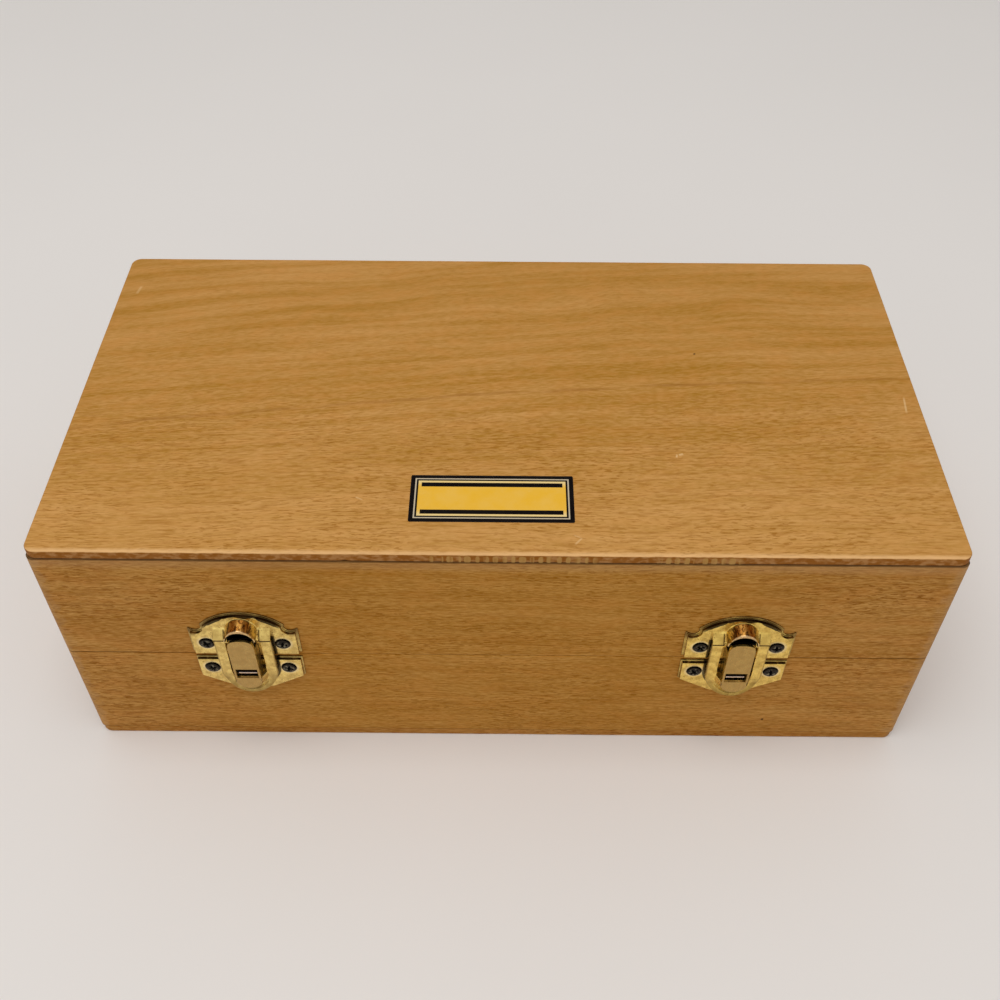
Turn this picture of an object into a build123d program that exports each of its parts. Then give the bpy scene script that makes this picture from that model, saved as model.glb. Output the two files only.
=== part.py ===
"""Wooden loupe case: a hinged box with two snap clasps.

Frame: origin at the centre of the underside, +X to the right, +Y to the back,
+Z up, in millimetres. The clasps are on the front face, at -Y.
"""

import math
import os

from build123d import *

os.makedirs("parts", exist_ok=True)

# Case boards
case_width = 240.0
case_depth = 126.0
base_frame_height = 38.0
lid_frame_height = 40.0
panel_thickness = 3.0
wall_thickness = 8.0
lap_thickness = 4.0
corner_radius = 2.0
panel_corner_radius = 3.0
panel_edge_chamfer = 0.9
seam_chamfer = 0.35

# Foam lining
lining_clearance = 0.5
insert_below_rim = 2.5
insert_floor = 6.0
pocket_length = 196.0
pocket_width = 60.0
pocket_corner = 14.0
lens_well_radius = 42.0
thumb_notch_radius = 13.0
thumb_notch_depth = 12.0
lid_pad_thickness = 9.0
lid_pad_chamfer = 2.0
lining_corner = 5.0

# Wood screws, with few sides so that sixteen of them stay light
screw_clearance = 0.15
screw_head_sides = 10
screw_shank_sides = 8
screw_head_height = 0.55
screw_head_taper = 28.0
screw_point = 1.5
screw_point_taper = 24.0
clasp_screw_head_radius = 2.05
clasp_screw_shank_radius = 1.0
clasp_screw_length = 6.5
hinge_screw_head_radius = 1.75
hinge_screw_shank_radius = 0.85
hinge_screw_length = 6.0

# Clasp, in its own terms: u across from the clasp's centre, z up from the
# underside of the case, d out from the front face of the boards
clasp_from_left_end = 51.0
clasp_from_right_end = 54.0
plate_rise = 1.3
plate_flange = 0.4
strike_flange_width = 0.7
keeper_flange_width = 0.35
keeper_wall_slope = 0.15
strike_half_width = 15.0
strike_above_seam = 1.7
strike_height = 17.3
strike_shoulder = 6.1
strike_bite_radius = 1.6
strike_bite_inset = 2.1
strike_screw_u = 10.4
strike_screw_height = 4.8
keeper_half_width = 14.8
keeper_below_seam = 0.7
keeper_side = 8.3
keeper_height = 13.8
keeper_nose_half_width = 5.2
keeper_screw_u = 10.7
keeper_screw_drop = 4.0

# Clasp pivot
pivot_above_seam = 9.4
pivot_out = 1.9
flap_pin_radius = 0.55
flap_pin_clearance = 0.05
knuckle_radius = 1.15
side_knuckle_inner = 3.95
side_knuckle_outer = 6.8
knuckle_gap = 0.15
saddle_half_width = 2.7
canopy_clearance = 0.3
canopy_out = 3.3
canopy_foot = 0.6
canopy_front = 0.5
canopy_top = 4.2

# Flap
flap_sheet = 0.9
flap_out = 2.1
flap_half_width = 7.8
leg_width = 2.9
flap_length = 21.7
leg_top_rise = 0.4
channel_half_width = 3.6
channel_wall = 0.6
channel_back = 1.6
channel_front = 5.5
channel_sheet = 0.8
channel_wall_drop = 1.1
tip_rise = 3.9
tip_arch_height = 4.1
catch_slot_top_drop = 9.4
catch_slot_height = 4.0
boss_half_width = 5.6
boss_end_drop = 20.2
boss_flare = 30.0
boss_spare = 3.0
boss_hollow_end = 2.8
finger_lip_out = 4.4
finger_lip_edge = 0.6
finger_lip_slope = 35.0
finger_lip_rise = 4.2

# Hood over the flap's tip
hood_out = 5.0
hood_half_width = 5.3
hood_crown = 8.3
hood_foot = 1.5
hood_flare = 13.0
hood_inner_half_width = 3.7
hood_inner_crown = 6.2
hood_inner_foot = 0.9
tip_window_foot = 2.1

# Catch spring
catch_half_width = 2.6
catch_sheet = 0.5
catch_foot_drop = 9.3
catch_bend_drop = 5.9
catch_nose_drop = 2.4
catch_nose_out = 4.8
catch_tail_drop = 1.2
catch_tail_out = 2.3
catch_bend_radius = 0.7

# Hinges
hinge_from_end = 46.0
hinge_width = 24.0
hinge_leaf_height = 14.0
hinge_sheet = 0.9
hinge_corner = 2.0
hinge_axis_out = 1.9
hinge_knuckle_radius = 1.6
hinge_pin_radius = 0.8
hinge_pin_clearance = 0.05
hinge_centre_knuckle = 8.0
hinge_knuckle_gap = 0.15
hinge_leaf_setback = 2.1
hinge_screw_x = 7.5
hinge_screw_from_seam = 9.3
stop_lug_width = 3.0
stop_lug_inner = 2.2
stop_lug_outer = 3.4
stop_lug_foot = 5.4
lid_opening_deg = 105.0

# How near an edge is to a place to count as there, and how far a cut runs past a surface
near_enough = 0.01
cut_margin = 1.0

# Worked out from the sizes above
clasp_centres = {
    "left": clasp_from_left_end - case_width / 2,
    "right": case_width / 2 - clasp_from_right_end,
}
hinge_centres = {"left": hinge_from_end - case_width / 2, "right": case_width / 2 - hinge_from_end}
seam_z = panel_thickness + base_frame_height
lid_frame_top = seam_z + lid_frame_height
front_y = -case_depth / 2
back_y = case_depth / 2
inside_length = case_width - 2 * wall_thickness
inside_width = case_depth - 2 * wall_thickness
pivot_z = seam_z + pivot_above_seam
strike_bottom_z = seam_z + strike_above_seam
strike_crown_z = strike_bottom_z + strike_height
keeper_top_z = seam_z - keeper_below_seam
strike_screw_z = strike_bottom_z + strike_screw_height
keeper_screw_z = keeper_top_z - keeper_screw_drop
slot_top_z = pivot_z - catch_slot_top_drop
slot_bottom_z = slot_top_z - catch_slot_height
leg_inner = flap_half_width - leg_width
flap_bore_radius = flap_pin_radius + flap_pin_clearance


def clasp_plane(centre, out=0.0):
    """A plane parallel to the front face: x is u, y is z, and out is d."""
    return Plane(origin=(centre, front_y - out, 0), x_dir=(1, 0, 0), z_dir=(0, -1, 0))


def clasp_side_plane(centre):
    """A plane square to the front face through a clasp's centre: x is d, y is z."""
    return Plane(origin=(centre, front_y, 0), x_dir=(0, -1, 0), z_dir=(-1, 0, 0))


def hinge_plane(centre, out=0.0):
    """A plane parallel to the back face, seen from behind."""
    return Plane(origin=(centre, back_y + out, 0), x_dir=(-1, 0, 0), z_dir=(0, 1, 0))


def hinge_side_plane(centre):
    """A plane square to the back face through a hinge: x is out, y is z."""
    return Plane(origin=(centre, back_y, 0), x_dir=(0, 1, 0), z_dir=(1, 0, 0))


def save(piece, name):
    """Label a finished piece and write its file."""
    piece.part.label = name
    export_step(piece.part, f"parts/{name}.step")


def long_board(y_out, z_low, height, screws, hole_radius, hole_depth):
    """A front or back board: full width, rebated at both ends for the side boards.

    y_out is the outer face's y, and screws are planes on that face at the pilot holes' axes.
    """
    inward = 1 if y_out < 0 else -1
    with BuildPart() as board:
        with BuildSketch(Plane.XY.offset(z_low)):
            with Locations((0, y_out + inward * wall_thickness / 2)):
                Rectangle(case_width, wall_thickness)
            rebate = wall_thickness - lap_thickness
            with Locations(
                (-case_width / 2 + wall_thickness / 2, y_out + inward * (lap_thickness + rebate / 2)),
                (case_width / 2 - wall_thickness / 2, y_out + inward * (lap_thickness + rebate / 2)),
            ):
                Rectangle(wall_thickness, rebate, mode=Mode.SUBTRACT)
        extrude(amount=height)
        outer_corners = board.edges().filter_by(Axis.Z).group_by(Axis.Y)[0 if inward > 0 else -1]
        fillet(outer_corners, corner_radius)
        seam_edges = (
            board.edges()
            .filter_by(Axis.X)
            .filter_by_position(Axis.Z, seam_z - near_enough, seam_z + near_enough)
            .filter_by_position(Axis.Y, y_out - near_enough, y_out + near_enough)
        )
        chamfer(seam_edges, seam_chamfer)
        for plane in screws:
            with BuildSketch(plane):
                RegularPolygon(hole_radius, screw_shank_sides)
            extrude(amount=-hole_depth, mode=Mode.SUBTRACT)
    return board


def side_board(x_out, z_low, height):
    """A left or right board, whose ends sit in the long boards' rebates."""
    inward = 1 if x_out < 0 else -1
    with BuildPart() as board:
        with BuildSketch(Plane.XY.offset(z_low)):
            with Locations((x_out + inward * wall_thickness / 2, 0)):
                Rectangle(wall_thickness, case_depth - 2 * lap_thickness)
        extrude(amount=height)
        seam_edges = (
            board.edges()
            .filter_by(Axis.Y)
            .filter_by_position(Axis.Z, seam_z - near_enough, seam_z + near_enough)
            .filter_by_position(Axis.X, x_out - near_enough, x_out + near_enough)
        )
        chamfer(seam_edges, seam_chamfer)
    return board


def panel(z_low, eased_face):
    """A thin top or bottom panel: eased_face is 0 to ease its lower rim and -1 its upper one."""
    with BuildPart() as board:
        with BuildSketch(Plane.XY.offset(z_low)):
            RectangleRounded(case_width, case_depth, panel_corner_radius)
        extrude(amount=panel_thickness)
        rim = board.faces().sort_by(Axis.Z)[eased_face].edges()
        chamfer(rim, panel_edge_chamfer)
    return board


def screw_planes(face, centres, across, z):
    """A plane at each screw's axis, two to each centre: face(centre) is the plane of the wood."""
    planes = []
    for centre in centres.values():
        wood = face(centre)
        for u in (-across, across):
            origin = wood.from_local_coords((u, z, 0))
            planes.append(Plane(origin=origin, x_dir=wood.x_dir, z_dir=wood.z_dir))
    return planes


def screw_group(planes, head_radius, shank_radius, length, seat_out):
    """Pointed wood screws with low, bevelled heads.

    planes lie on the wood's face at each screw's axis, seat_out is the height of the
    plate's outer face, and length is how far the screw reaches into the wood.
    """
    with BuildPart() as screws:
        for plane in planes:
            with BuildSketch(plane.offset(seat_out)):
                RegularPolygon(head_radius, screw_head_sides)
            extrude(amount=screw_head_height, taper=screw_head_taper)
            with BuildSketch(plane.offset(seat_out)):
                RegularPolygon(shank_radius, screw_shank_sides)
            extrude(amount=-(seat_out + length - screw_point))
            with BuildSketch(plane.offset(screw_point - length)):
                RegularPolygon(shank_radius, screw_shank_sides)
            extrude(amount=-screw_point, taper=screw_point_taper)
    return screws


def arch(half_width, crown, foot):
    """An upright arch: straight sides, a half-round top, a flat foot."""
    spring = crown - half_width
    with BuildSketch() as shape:
        with BuildLine():
            Polyline(
                (-half_width, spring), (-half_width, foot), (half_width, foot), (half_width, spring)
            )
            ThreePointArc((half_width, spring), (0, crown), (-half_width, spring))
        make_face()
    return shape.sketch_local


def hanging_arch(half_width, top, end):
    """An arch upside down: a flat top and a half-round lower end."""
    spring = end + half_width
    with BuildSketch() as shape:
        with BuildLine():
            Polyline((-half_width, spring), (-half_width, top), (half_width, top), (half_width, spring))
            ThreePointArc((half_width, spring), (0, end), (-half_width, spring))
        make_face()
    return shape.sketch_local


def strike_outline(inset=0.0):
    """The lid plate's outline: flat foot, straight sides, bitten shoulders and an arched top.

    inset draws in all of it but the foot.
    """
    half = strike_half_width - inset
    foot = strike_bottom_z
    centre = strike_crown_z - strike_half_width
    shoulder = strike_crown_z - strike_shoulder
    bite_u = strike_half_width - strike_bite_inset
    with BuildSketch() as shape:
        with Locations((0, centre)):
            Circle(half)
        with Locations((0, (foot + shoulder) / 2)):
            Rectangle(2 * half, shoulder - foot)
        with Locations((0, foot - strike_half_width)):
            Rectangle(4 * strike_half_width, 2 * strike_half_width, mode=Mode.SUBTRACT)
        with Locations((-bite_u, shoulder), (bite_u, shoulder)):
            Circle(strike_bite_radius + inset, mode=Mode.SUBTRACT)
    return shape.sketch_local


def strike_plate(centre):
    """The lid's plate: a pan-formed plate with a hood for the flap's tip and the flap's bearings.

    Its two knuckles turn in slots, each under a sloping canopy, on a pin held by a saddle.
    """
    base = clasp_plane(centre)
    with BuildPart() as plate:
        with BuildSketch(base):
            add(strike_outline())
        extrude(amount=plate_flange)
        with BuildSketch(base):
            add(strike_outline(strike_flange_width))
        extrude(amount=plate_rise)

        # Hood: a flared collar round the flap's tip, open below and in front
        with BuildSketch(clasp_plane(centre, plate_flange)):
            add(arch(hood_half_width, pivot_z + hood_crown, pivot_z + hood_foot))
        extrude(amount=hood_out - plate_flange, taper=hood_flare)
        with BuildSketch(clasp_plane(centre, plate_rise)):
            add(arch(hood_inner_half_width, pivot_z + hood_inner_crown, pivot_z + hood_inner_foot))
        extrude(amount=hood_out - plate_rise, mode=Mode.SUBTRACT)
        with BuildSketch(base):
            add(arch(hood_inner_half_width, pivot_z + hood_inner_crown, pivot_z + tip_window_foot))
        extrude(amount=plate_rise, mode=Mode.SUBTRACT)

        # Canopies over the flap's knuckles, open below where the legs hang
        for sign in (-1, 1):
            middle = sign * (hood_inner_half_width + flap_half_width) / 2
            with BuildSketch(clasp_side_plane(centre + middle)):
                with BuildLine():
                    Polyline(
                        (plate_flange, pivot_z + canopy_foot),
                        (canopy_out, pivot_z + canopy_foot),
                        (canopy_out, pivot_z + canopy_foot + canopy_front),
                        (plate_rise, pivot_z + canopy_top),
                        (plate_flange, pivot_z + canopy_top),
                        close=True,
                    )
                make_face()
                with Locations((pivot_out, pivot_z)):
                    Circle(knuckle_radius + canopy_clearance, mode=Mode.SUBTRACT)
            extrude(amount=(flap_half_width - hood_inner_half_width) / 2, both=True)

        # Slots for the flap's knuckles
        slot_inner = side_knuckle_inner - knuckle_gap
        slot_outer = side_knuckle_outer + knuckle_gap
        slot_half_height = knuckle_radius + knuckle_gap
        with BuildSketch(base):
            with Locations(
                (-(slot_inner + slot_outer) / 2, pivot_z),
                ((slot_inner + slot_outer) / 2, pivot_z),
            ):
                Rectangle(slot_outer - slot_inner, 2 * slot_half_height)
        extrude(amount=plate_rise, mode=Mode.SUBTRACT)

        # Saddle that holds the pin between the two slots
        with BuildSketch(clasp_side_plane(centre)):
            with Locations((pivot_out, pivot_z)):
                Circle(knuckle_radius)
            with Locations(((pivot_out + plate_flange) / 2, pivot_z)):
                Rectangle(pivot_out - plate_flange, 2 * knuckle_radius)
            with Locations((pivot_out, pivot_z)):
                Circle(flap_pin_radius, mode=Mode.SUBTRACT)
        extrude(amount=saddle_half_width, both=True)
        with BuildSketch(clasp_side_plane(centre)):
            with Locations((pivot_out, pivot_z)):
                Circle(flap_pin_radius)
        extrude(amount=strike_half_width, both=True, mode=Mode.SUBTRACT)

        with BuildSketch(base):
            with Locations((-strike_screw_u, strike_screw_z), (strike_screw_u, strike_screw_z)):
                RegularPolygon(clasp_screw_shank_radius + screw_clearance, screw_shank_sides)
        extrude(amount=plate_rise, mode=Mode.SUBTRACT)
    return plate


def keeper_outline(inset=0.0):
    """The base plate's outline: a straight top and sides, narrowing to a blunt lower edge."""
    top = keeper_top_z
    corner = top - keeper_side
    low = top - keeper_height
    with BuildSketch() as shape:
        with BuildLine():
            Polyline(
                (-keeper_half_width, top),
                (keeper_half_width, top),
                (keeper_half_width, corner),
                (keeper_nose_half_width, low),
                (-keeper_nose_half_width, low),
                (-keeper_half_width, corner),
                close=True,
            )
        make_face()
        if inset:
            offset(amount=-inset, kind=Kind.INTERSECTION, mode=Mode.REPLACE)
    return shape.sketch_local


def keeper_plate(centre):
    """The base's plate, pan-formed like the lid's, that carries the catch spring."""
    base = clasp_plane(centre)
    with BuildPart() as plate:
        with BuildSketch(base):
            add(keeper_outline())
        extrude(amount=plate_flange)
        with BuildSketch(base.offset(plate_flange)):
            add(keeper_outline(keeper_flange_width))
        with BuildSketch(base.offset(plate_rise)):
            add(keeper_outline(keeper_flange_width + keeper_wall_slope))
        loft(ruled=True)
        with BuildSketch(base):
            with Locations((-keeper_screw_u, keeper_screw_z), (keeper_screw_u, keeper_screw_z)):
                RegularPolygon(clasp_screw_shank_radius + screw_clearance, screw_shank_sides)
        extrude(amount=plate_rise, mode=Mode.SUBTRACT)
    return plate


def catch_spring(centre):
    """A bent spring strip on the base plate, whose rounded nose fills the flap's slot."""
    foot_d = plate_rise + catch_sheet / 2
    with BuildPart() as spring:
        with BuildLine(clasp_side_plane(centre)) as path:
            FilletPolyline(
                (foot_d, keeper_top_z - catch_foot_drop),
                (foot_d, keeper_top_z - catch_bend_drop),
                (catch_nose_out, seam_z - catch_nose_drop),
                (catch_tail_out, seam_z - catch_tail_drop),
                radius=catch_bend_radius,
            )
        start = Plane(
            origin=path.line @ 0,
            x_dir=(1, 0, 0),
            z_dir=path.line % 0,
        )
        with BuildSketch(start):
            Rectangle(2 * catch_half_width, catch_sheet)
        sweep(path=path.line)
    return spring


def flap(centre):
    """The clasp's flap: two legs, a raised channel with an arched tip, a slot and a finger lip."""
    end_z = pivot_z - flap_length
    arc_z = end_z + flap_half_width
    leg_top = pivot_z + leg_top_rise
    leg_face = flap_out + flap_sheet
    base = clasp_plane(centre, flap_out)
    side = clasp_side_plane(centre)
    with BuildPart() as lever:
        # U-shaped frame with the finger lip at its round end
        with BuildSketch(base):
            add(hanging_arch(flap_half_width, leg_top, end_z))
            with Locations((0, (slot_bottom_z + leg_top) / 2)):
                Rectangle(2 * leg_inner, leg_top - slot_bottom_z, mode=Mode.SUBTRACT)
        extrude(amount=flap_sheet)
        with BuildSketch(clasp_plane(centre, leg_face)):
            with Locations((0, arc_z)):
                Circle(flap_half_width)
            with Locations((0, arc_z + flap_half_width / 2)):
                Rectangle(2 * flap_half_width, flap_half_width, mode=Mode.SUBTRACT)
        extrude(amount=finger_lip_out - leg_face)
        dish_widening = (finger_lip_out - leg_face) * math.tan(math.radians(finger_lip_slope))
        with BuildSketch(clasp_plane(centre, leg_face)):
            with Locations((0, arc_z)):
                Circle(flap_half_width - finger_lip_edge - dish_widening)
        extrude(amount=finger_lip_out - leg_face, taper=-finger_lip_slope, mode=Mode.SUBTRACT)
        with BuildSketch(side):
            with BuildLine():
                Polyline(
                    (finger_lip_out, end_z),
                    (leg_face, end_z + finger_lip_rise),
                    (leg_face, arc_z + cut_margin),
                    (channel_front + cut_margin, arc_z + cut_margin),
                    (channel_front + cut_margin, end_z),
                    close=True,
                )
            make_face()
        extrude(amount=2 * flap_half_width, both=True, mode=Mode.SUBTRACT)

        # Raised boss between the legs, hollow behind, cut square at the slot
        boss_top = slot_bottom_z + boss_spare
        with BuildSketch(base):
            add(hanging_arch(boss_half_width, boss_top, pivot_z - boss_end_drop))
        extrude(amount=channel_front - flap_out, taper=boss_flare)
        with BuildSketch(base):
            add(
                hanging_arch(
                    channel_half_width - channel_wall,
                    boss_top,
                    pivot_z - boss_end_drop + boss_hollow_end,
                )
            )
        extrude(amount=channel_front - channel_sheet - flap_out, mode=Mode.SUBTRACT)
        with BuildSketch(base):
            with Locations((0, slot_bottom_z + leg_inner)):
                Rectangle(2 * leg_inner, 2 * leg_inner)
        extrude(amount=channel_front, mode=Mode.SUBTRACT)

        # Channel: two side walls and a face that ends in the arched tip
        wall_top = pivot_z - channel_wall_drop
        with BuildSketch(clasp_plane(centre, channel_back)):
            for sign in (-1, 1):
                with Locations(
                    (sign * (channel_half_width - channel_wall / 2), (slot_bottom_z + wall_top) / 2)
                ):
                    Rectangle(channel_wall, wall_top - slot_bottom_z)
        extrude(amount=channel_front - channel_back)
        with BuildSketch(clasp_plane(centre, channel_front - channel_sheet)):
            spring = pivot_z + tip_rise - tip_arch_height
            with Locations((0, spring)):
                Ellipse(channel_half_width, tip_arch_height)
            with Locations((0, (spring + slot_top_z) / 2)):
                Rectangle(2 * channel_half_width, spring - slot_top_z)
        extrude(amount=channel_sheet)

        # Knuckles at the legs' upper ends
        for sign in (-1, 1):
            middle = sign * (side_knuckle_inner + side_knuckle_outer) / 2
            with BuildSketch(clasp_side_plane(centre + middle)):
                with Locations((pivot_out, pivot_z)):
                    Circle(knuckle_radius)
            extrude(amount=(side_knuckle_outer - side_knuckle_inner) / 2, both=True)
        with BuildSketch(side):
            with Locations((pivot_out, pivot_z)):
                Circle(flap_bore_radius)
        extrude(amount=flap_half_width, both=True, mode=Mode.SUBTRACT)
    return lever


def flap_pin(centre):
    """The pin through the saddle and the flap's two knuckles."""
    with BuildPart() as pin:
        with BuildSketch(clasp_side_plane(centre)):
            with Locations((pivot_out, pivot_z)):
                Circle(flap_pin_radius)
        extrude(amount=side_knuckle_outer, both=True)
    return pin


def hinge_leaf(centre, up):
    """One hinge leaf: up is 1 for the lid's leaf and -1 for the base's."""
    plane = hinge_plane(centre)
    side = hinge_side_plane(centre)
    near = seam_z + up * hinge_leaf_setback
    far = seam_z + up * hinge_leaf_height
    mid_half = hinge_centre_knuckle / 2
    half = hinge_width / 2
    stop_angle = math.radians((180 - lid_opening_deg) / 2)
    if up > 0:
        spans = [(-mid_half + hinge_knuckle_gap / 2, mid_half - hinge_knuckle_gap / 2)]
    else:
        spans = [(-half, -mid_half - hinge_knuckle_gap / 2), (mid_half + hinge_knuckle_gap / 2, half)]
    with BuildPart() as leaf:
        with BuildSketch(plane):
            with Locations((0, (near + far) / 2)):
                Rectangle(hinge_width, abs(far - near))
            far_corners = vertices().group_by(Axis.Y)[-1 if up > 0 else 0]
            fillet(far_corners, hinge_corner)
            for low, high in spans:
                with Locations(((low + high) / 2, (seam_z + near) / 2)):
                    Rectangle(high - low, abs(near - seam_z))
        extrude(amount=hinge_sheet)
        for low, high in spans:
            with BuildSketch(hinge_side_plane(centre + (low + high) / 2)):
                with Locations((hinge_axis_out, seam_z)):
                    Circle(hinge_knuckle_radius)
            extrude(amount=(high - low) / 2, both=True)
        for sign in (-1, 1):
            lug_middle = sign * (half - stop_lug_width / 2)
            with BuildSketch(hinge_side_plane(centre + lug_middle)):
                with BuildLine():
                    Polyline(
                        (hinge_sheet / 2, near),
                        (
                            hinge_axis_out + stop_lug_inner * math.sin(stop_angle),
                            seam_z + up * stop_lug_inner * math.cos(stop_angle),
                        ),
                        (
                            hinge_axis_out + stop_lug_outer * math.sin(stop_angle),
                            seam_z + up * stop_lug_outer * math.cos(stop_angle),
                        ),
                        (hinge_sheet / 2, seam_z + up * stop_lug_foot),
                        close=True,
                    )
                make_face()
            extrude(amount=stop_lug_width / 2, both=True)
        bore = hinge_pin_radius + (hinge_pin_clearance if up > 0 else 0)
        with BuildSketch(side):
            with Locations((hinge_axis_out, seam_z)):
                Circle(bore)
        extrude(amount=half, both=True, mode=Mode.SUBTRACT)
        screw_z = seam_z + up * hinge_screw_from_seam
        with BuildSketch(plane):
            with Locations((-hinge_screw_x, screw_z), (hinge_screw_x, screw_z)):
                RegularPolygon(hinge_screw_shank_radius + screw_clearance, screw_shank_sides)
        extrude(amount=hinge_sheet, mode=Mode.SUBTRACT)
    return leaf


def hinge_pin(centre):
    """The hinge's pin, held in the base leaf's two knuckles."""
    with BuildPart() as pin:
        with BuildSketch(hinge_side_plane(centre)):
            with Locations((hinge_axis_out, seam_z)):
                Circle(hinge_pin_radius)
        extrude(amount=hinge_width / 2, both=True)
    return pin


def base_insert():
    """The foam block in the base, with a pocket for the loupe and two thumb notches."""
    top = seam_z - insert_below_rim
    floor = panel_thickness + insert_floor
    with BuildPart() as block:
        with BuildSketch(Plane.XY.offset(panel_thickness)):
            RectangleRounded(
                inside_length - 2 * lining_clearance, inside_width - 2 * lining_clearance, lining_corner
            )
        extrude(amount=top - panel_thickness)
        with BuildSketch(Plane.XY.offset(top)):
            RectangleRounded(pocket_length, pocket_width, pocket_corner)
            Circle(lens_well_radius)
        extrude(amount=floor - top, mode=Mode.SUBTRACT)
        with BuildSketch(Plane.XY.offset(top)):
            notch_x = pocket_length / 2 - pocket_corner - thumb_notch_radius
            with Locations(
                (-notch_x, pocket_width / 2),
                (-notch_x, -pocket_width / 2),
                (notch_x, pocket_width / 2),
                (notch_x, -pocket_width / 2),
            ):
                Circle(thumb_notch_radius)
        extrude(amount=-thumb_notch_depth, mode=Mode.SUBTRACT)
    return block


def lid_pad():
    """The foam pad under the top panel."""
    with BuildPart() as pad:
        with BuildSketch(Plane.XY.offset(lid_frame_top - lid_pad_thickness)):
            RectangleRounded(
                inside_length - 2 * lining_clearance, inside_width - 2 * lining_clearance, lining_corner
            )
        extrude(amount=lid_pad_thickness)
        chamfer(pad.faces().sort_by(Axis.Z)[0].edges(), lid_pad_chamfer)
    return pad


# Places of the screws, on the wood's faces
strike_axes = screw_planes(clasp_plane, clasp_centres, strike_screw_u, strike_screw_z)
keeper_axes = screw_planes(clasp_plane, clasp_centres, keeper_screw_u, keeper_screw_z)
hinge_lid_axes = screw_planes(hinge_plane, hinge_centres, hinge_screw_x, seam_z + hinge_screw_from_seam)
hinge_base_axes = screw_planes(hinge_plane, hinge_centres, hinge_screw_x, seam_z - hinge_screw_from_seam)
clasp_hole = (clasp_screw_shank_radius, clasp_screw_length)
hinge_hole = (hinge_screw_shank_radius, hinge_screw_length)

# Base boards
save(long_board(front_y, panel_thickness, base_frame_height, keeper_axes, *clasp_hole), "base_front")
save(long_board(back_y, panel_thickness, base_frame_height, hinge_base_axes, *hinge_hole), "base_back")
save(side_board(-case_width / 2, panel_thickness, base_frame_height), "base_left")
save(side_board(case_width / 2, panel_thickness, base_frame_height), "base_right")
save(panel(0, 0), "base_bottom")
save(base_insert(), "base_insert")

# Lid boards
save(long_board(front_y, seam_z, lid_frame_height, strike_axes, *clasp_hole), "lid_front")
save(long_board(back_y, seam_z, lid_frame_height, hinge_lid_axes, *hinge_hole), "lid_back")
save(side_board(-case_width / 2, seam_z, lid_frame_height), "lid_left")
save(side_board(case_width / 2, seam_z, lid_frame_height), "lid_right")
save(panel(lid_frame_top, -1), "lid_top")
save(lid_pad(), "lid_pad")

# Clasps
for side_name, clasp_centre in clasp_centres.items():
    save(strike_plate(clasp_centre), f"strike_plate_{side_name}")
    save(keeper_plate(clasp_centre), f"keeper_plate_{side_name}")
    save(catch_spring(clasp_centre), f"catch_spring_{side_name}")
    save(flap(clasp_centre), f"flap_{side_name}")
    save(flap_pin(clasp_centre), f"flap_pin_{side_name}")

# Hinges
for side_name, hinge_centre in hinge_centres.items():
    save(hinge_leaf(hinge_centre, -1), f"hinge_base_leaf_{side_name}")
    save(hinge_leaf(hinge_centre, 1), f"hinge_lid_leaf_{side_name}")
    save(hinge_pin(hinge_centre), f"hinge_pin_{side_name}")

# Screws
for name, axes, head_radius, hole, seat in (
    ("strike_screws", strike_axes, clasp_screw_head_radius, clasp_hole, plate_rise),
    ("keeper_screws", keeper_axes, clasp_screw_head_radius, clasp_hole, plate_rise),
    ("hinge_lid_screws", hinge_lid_axes, hinge_screw_head_radius, hinge_hole, hinge_sheet),
    ("hinge_base_screws", hinge_base_axes, hinge_screw_head_radius, hinge_hole, hinge_sheet),
):
    save(screw_group(axes, head_radius, *hole, seat), name)
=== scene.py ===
"""Looks of a wooden loupe case: boards, foam lining, snap clasps, hinges and a label.

Everything is in metres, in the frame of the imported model: origin at the centre of the
underside, +X to the right, +Y to the back, +Z up, with the clasps on the front, at -Y.
Patterns are worked out in millimetres of Object coordinates, so that they stay on the
boards and the metalwork as the lid and the flaps move. Lengths in fields are in
millimetres, and shares, depths and strengths run from 0 to 1.
"""

import logging
import math
from collections.abc import Callable, Iterable, Iterator
from dataclasses import dataclass
from enum import Enum
from typing import NamedTuple, Protocol

import bmesh
import bpy
import numpy as np
from mathutils import Euler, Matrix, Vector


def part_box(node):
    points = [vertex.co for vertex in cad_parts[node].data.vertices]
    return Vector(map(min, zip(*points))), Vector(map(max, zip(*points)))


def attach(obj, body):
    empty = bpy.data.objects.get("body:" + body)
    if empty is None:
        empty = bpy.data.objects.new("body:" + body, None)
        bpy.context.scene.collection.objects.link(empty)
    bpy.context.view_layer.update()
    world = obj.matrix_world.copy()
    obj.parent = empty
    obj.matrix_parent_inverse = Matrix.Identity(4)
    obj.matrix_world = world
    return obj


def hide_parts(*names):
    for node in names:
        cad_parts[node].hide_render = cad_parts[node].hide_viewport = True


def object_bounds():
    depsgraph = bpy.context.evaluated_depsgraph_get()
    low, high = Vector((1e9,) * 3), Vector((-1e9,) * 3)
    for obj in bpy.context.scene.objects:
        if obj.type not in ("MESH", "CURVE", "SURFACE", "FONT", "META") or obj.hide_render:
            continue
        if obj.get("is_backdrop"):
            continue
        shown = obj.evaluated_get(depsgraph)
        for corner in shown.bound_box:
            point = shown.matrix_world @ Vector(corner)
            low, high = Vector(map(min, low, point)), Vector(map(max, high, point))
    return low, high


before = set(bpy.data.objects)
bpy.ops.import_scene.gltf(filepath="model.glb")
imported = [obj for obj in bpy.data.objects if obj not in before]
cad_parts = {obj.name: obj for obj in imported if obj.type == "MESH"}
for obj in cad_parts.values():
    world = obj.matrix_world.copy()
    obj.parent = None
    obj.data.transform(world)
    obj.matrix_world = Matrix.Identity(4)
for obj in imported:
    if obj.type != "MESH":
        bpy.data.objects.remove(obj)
cad_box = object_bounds()

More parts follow.
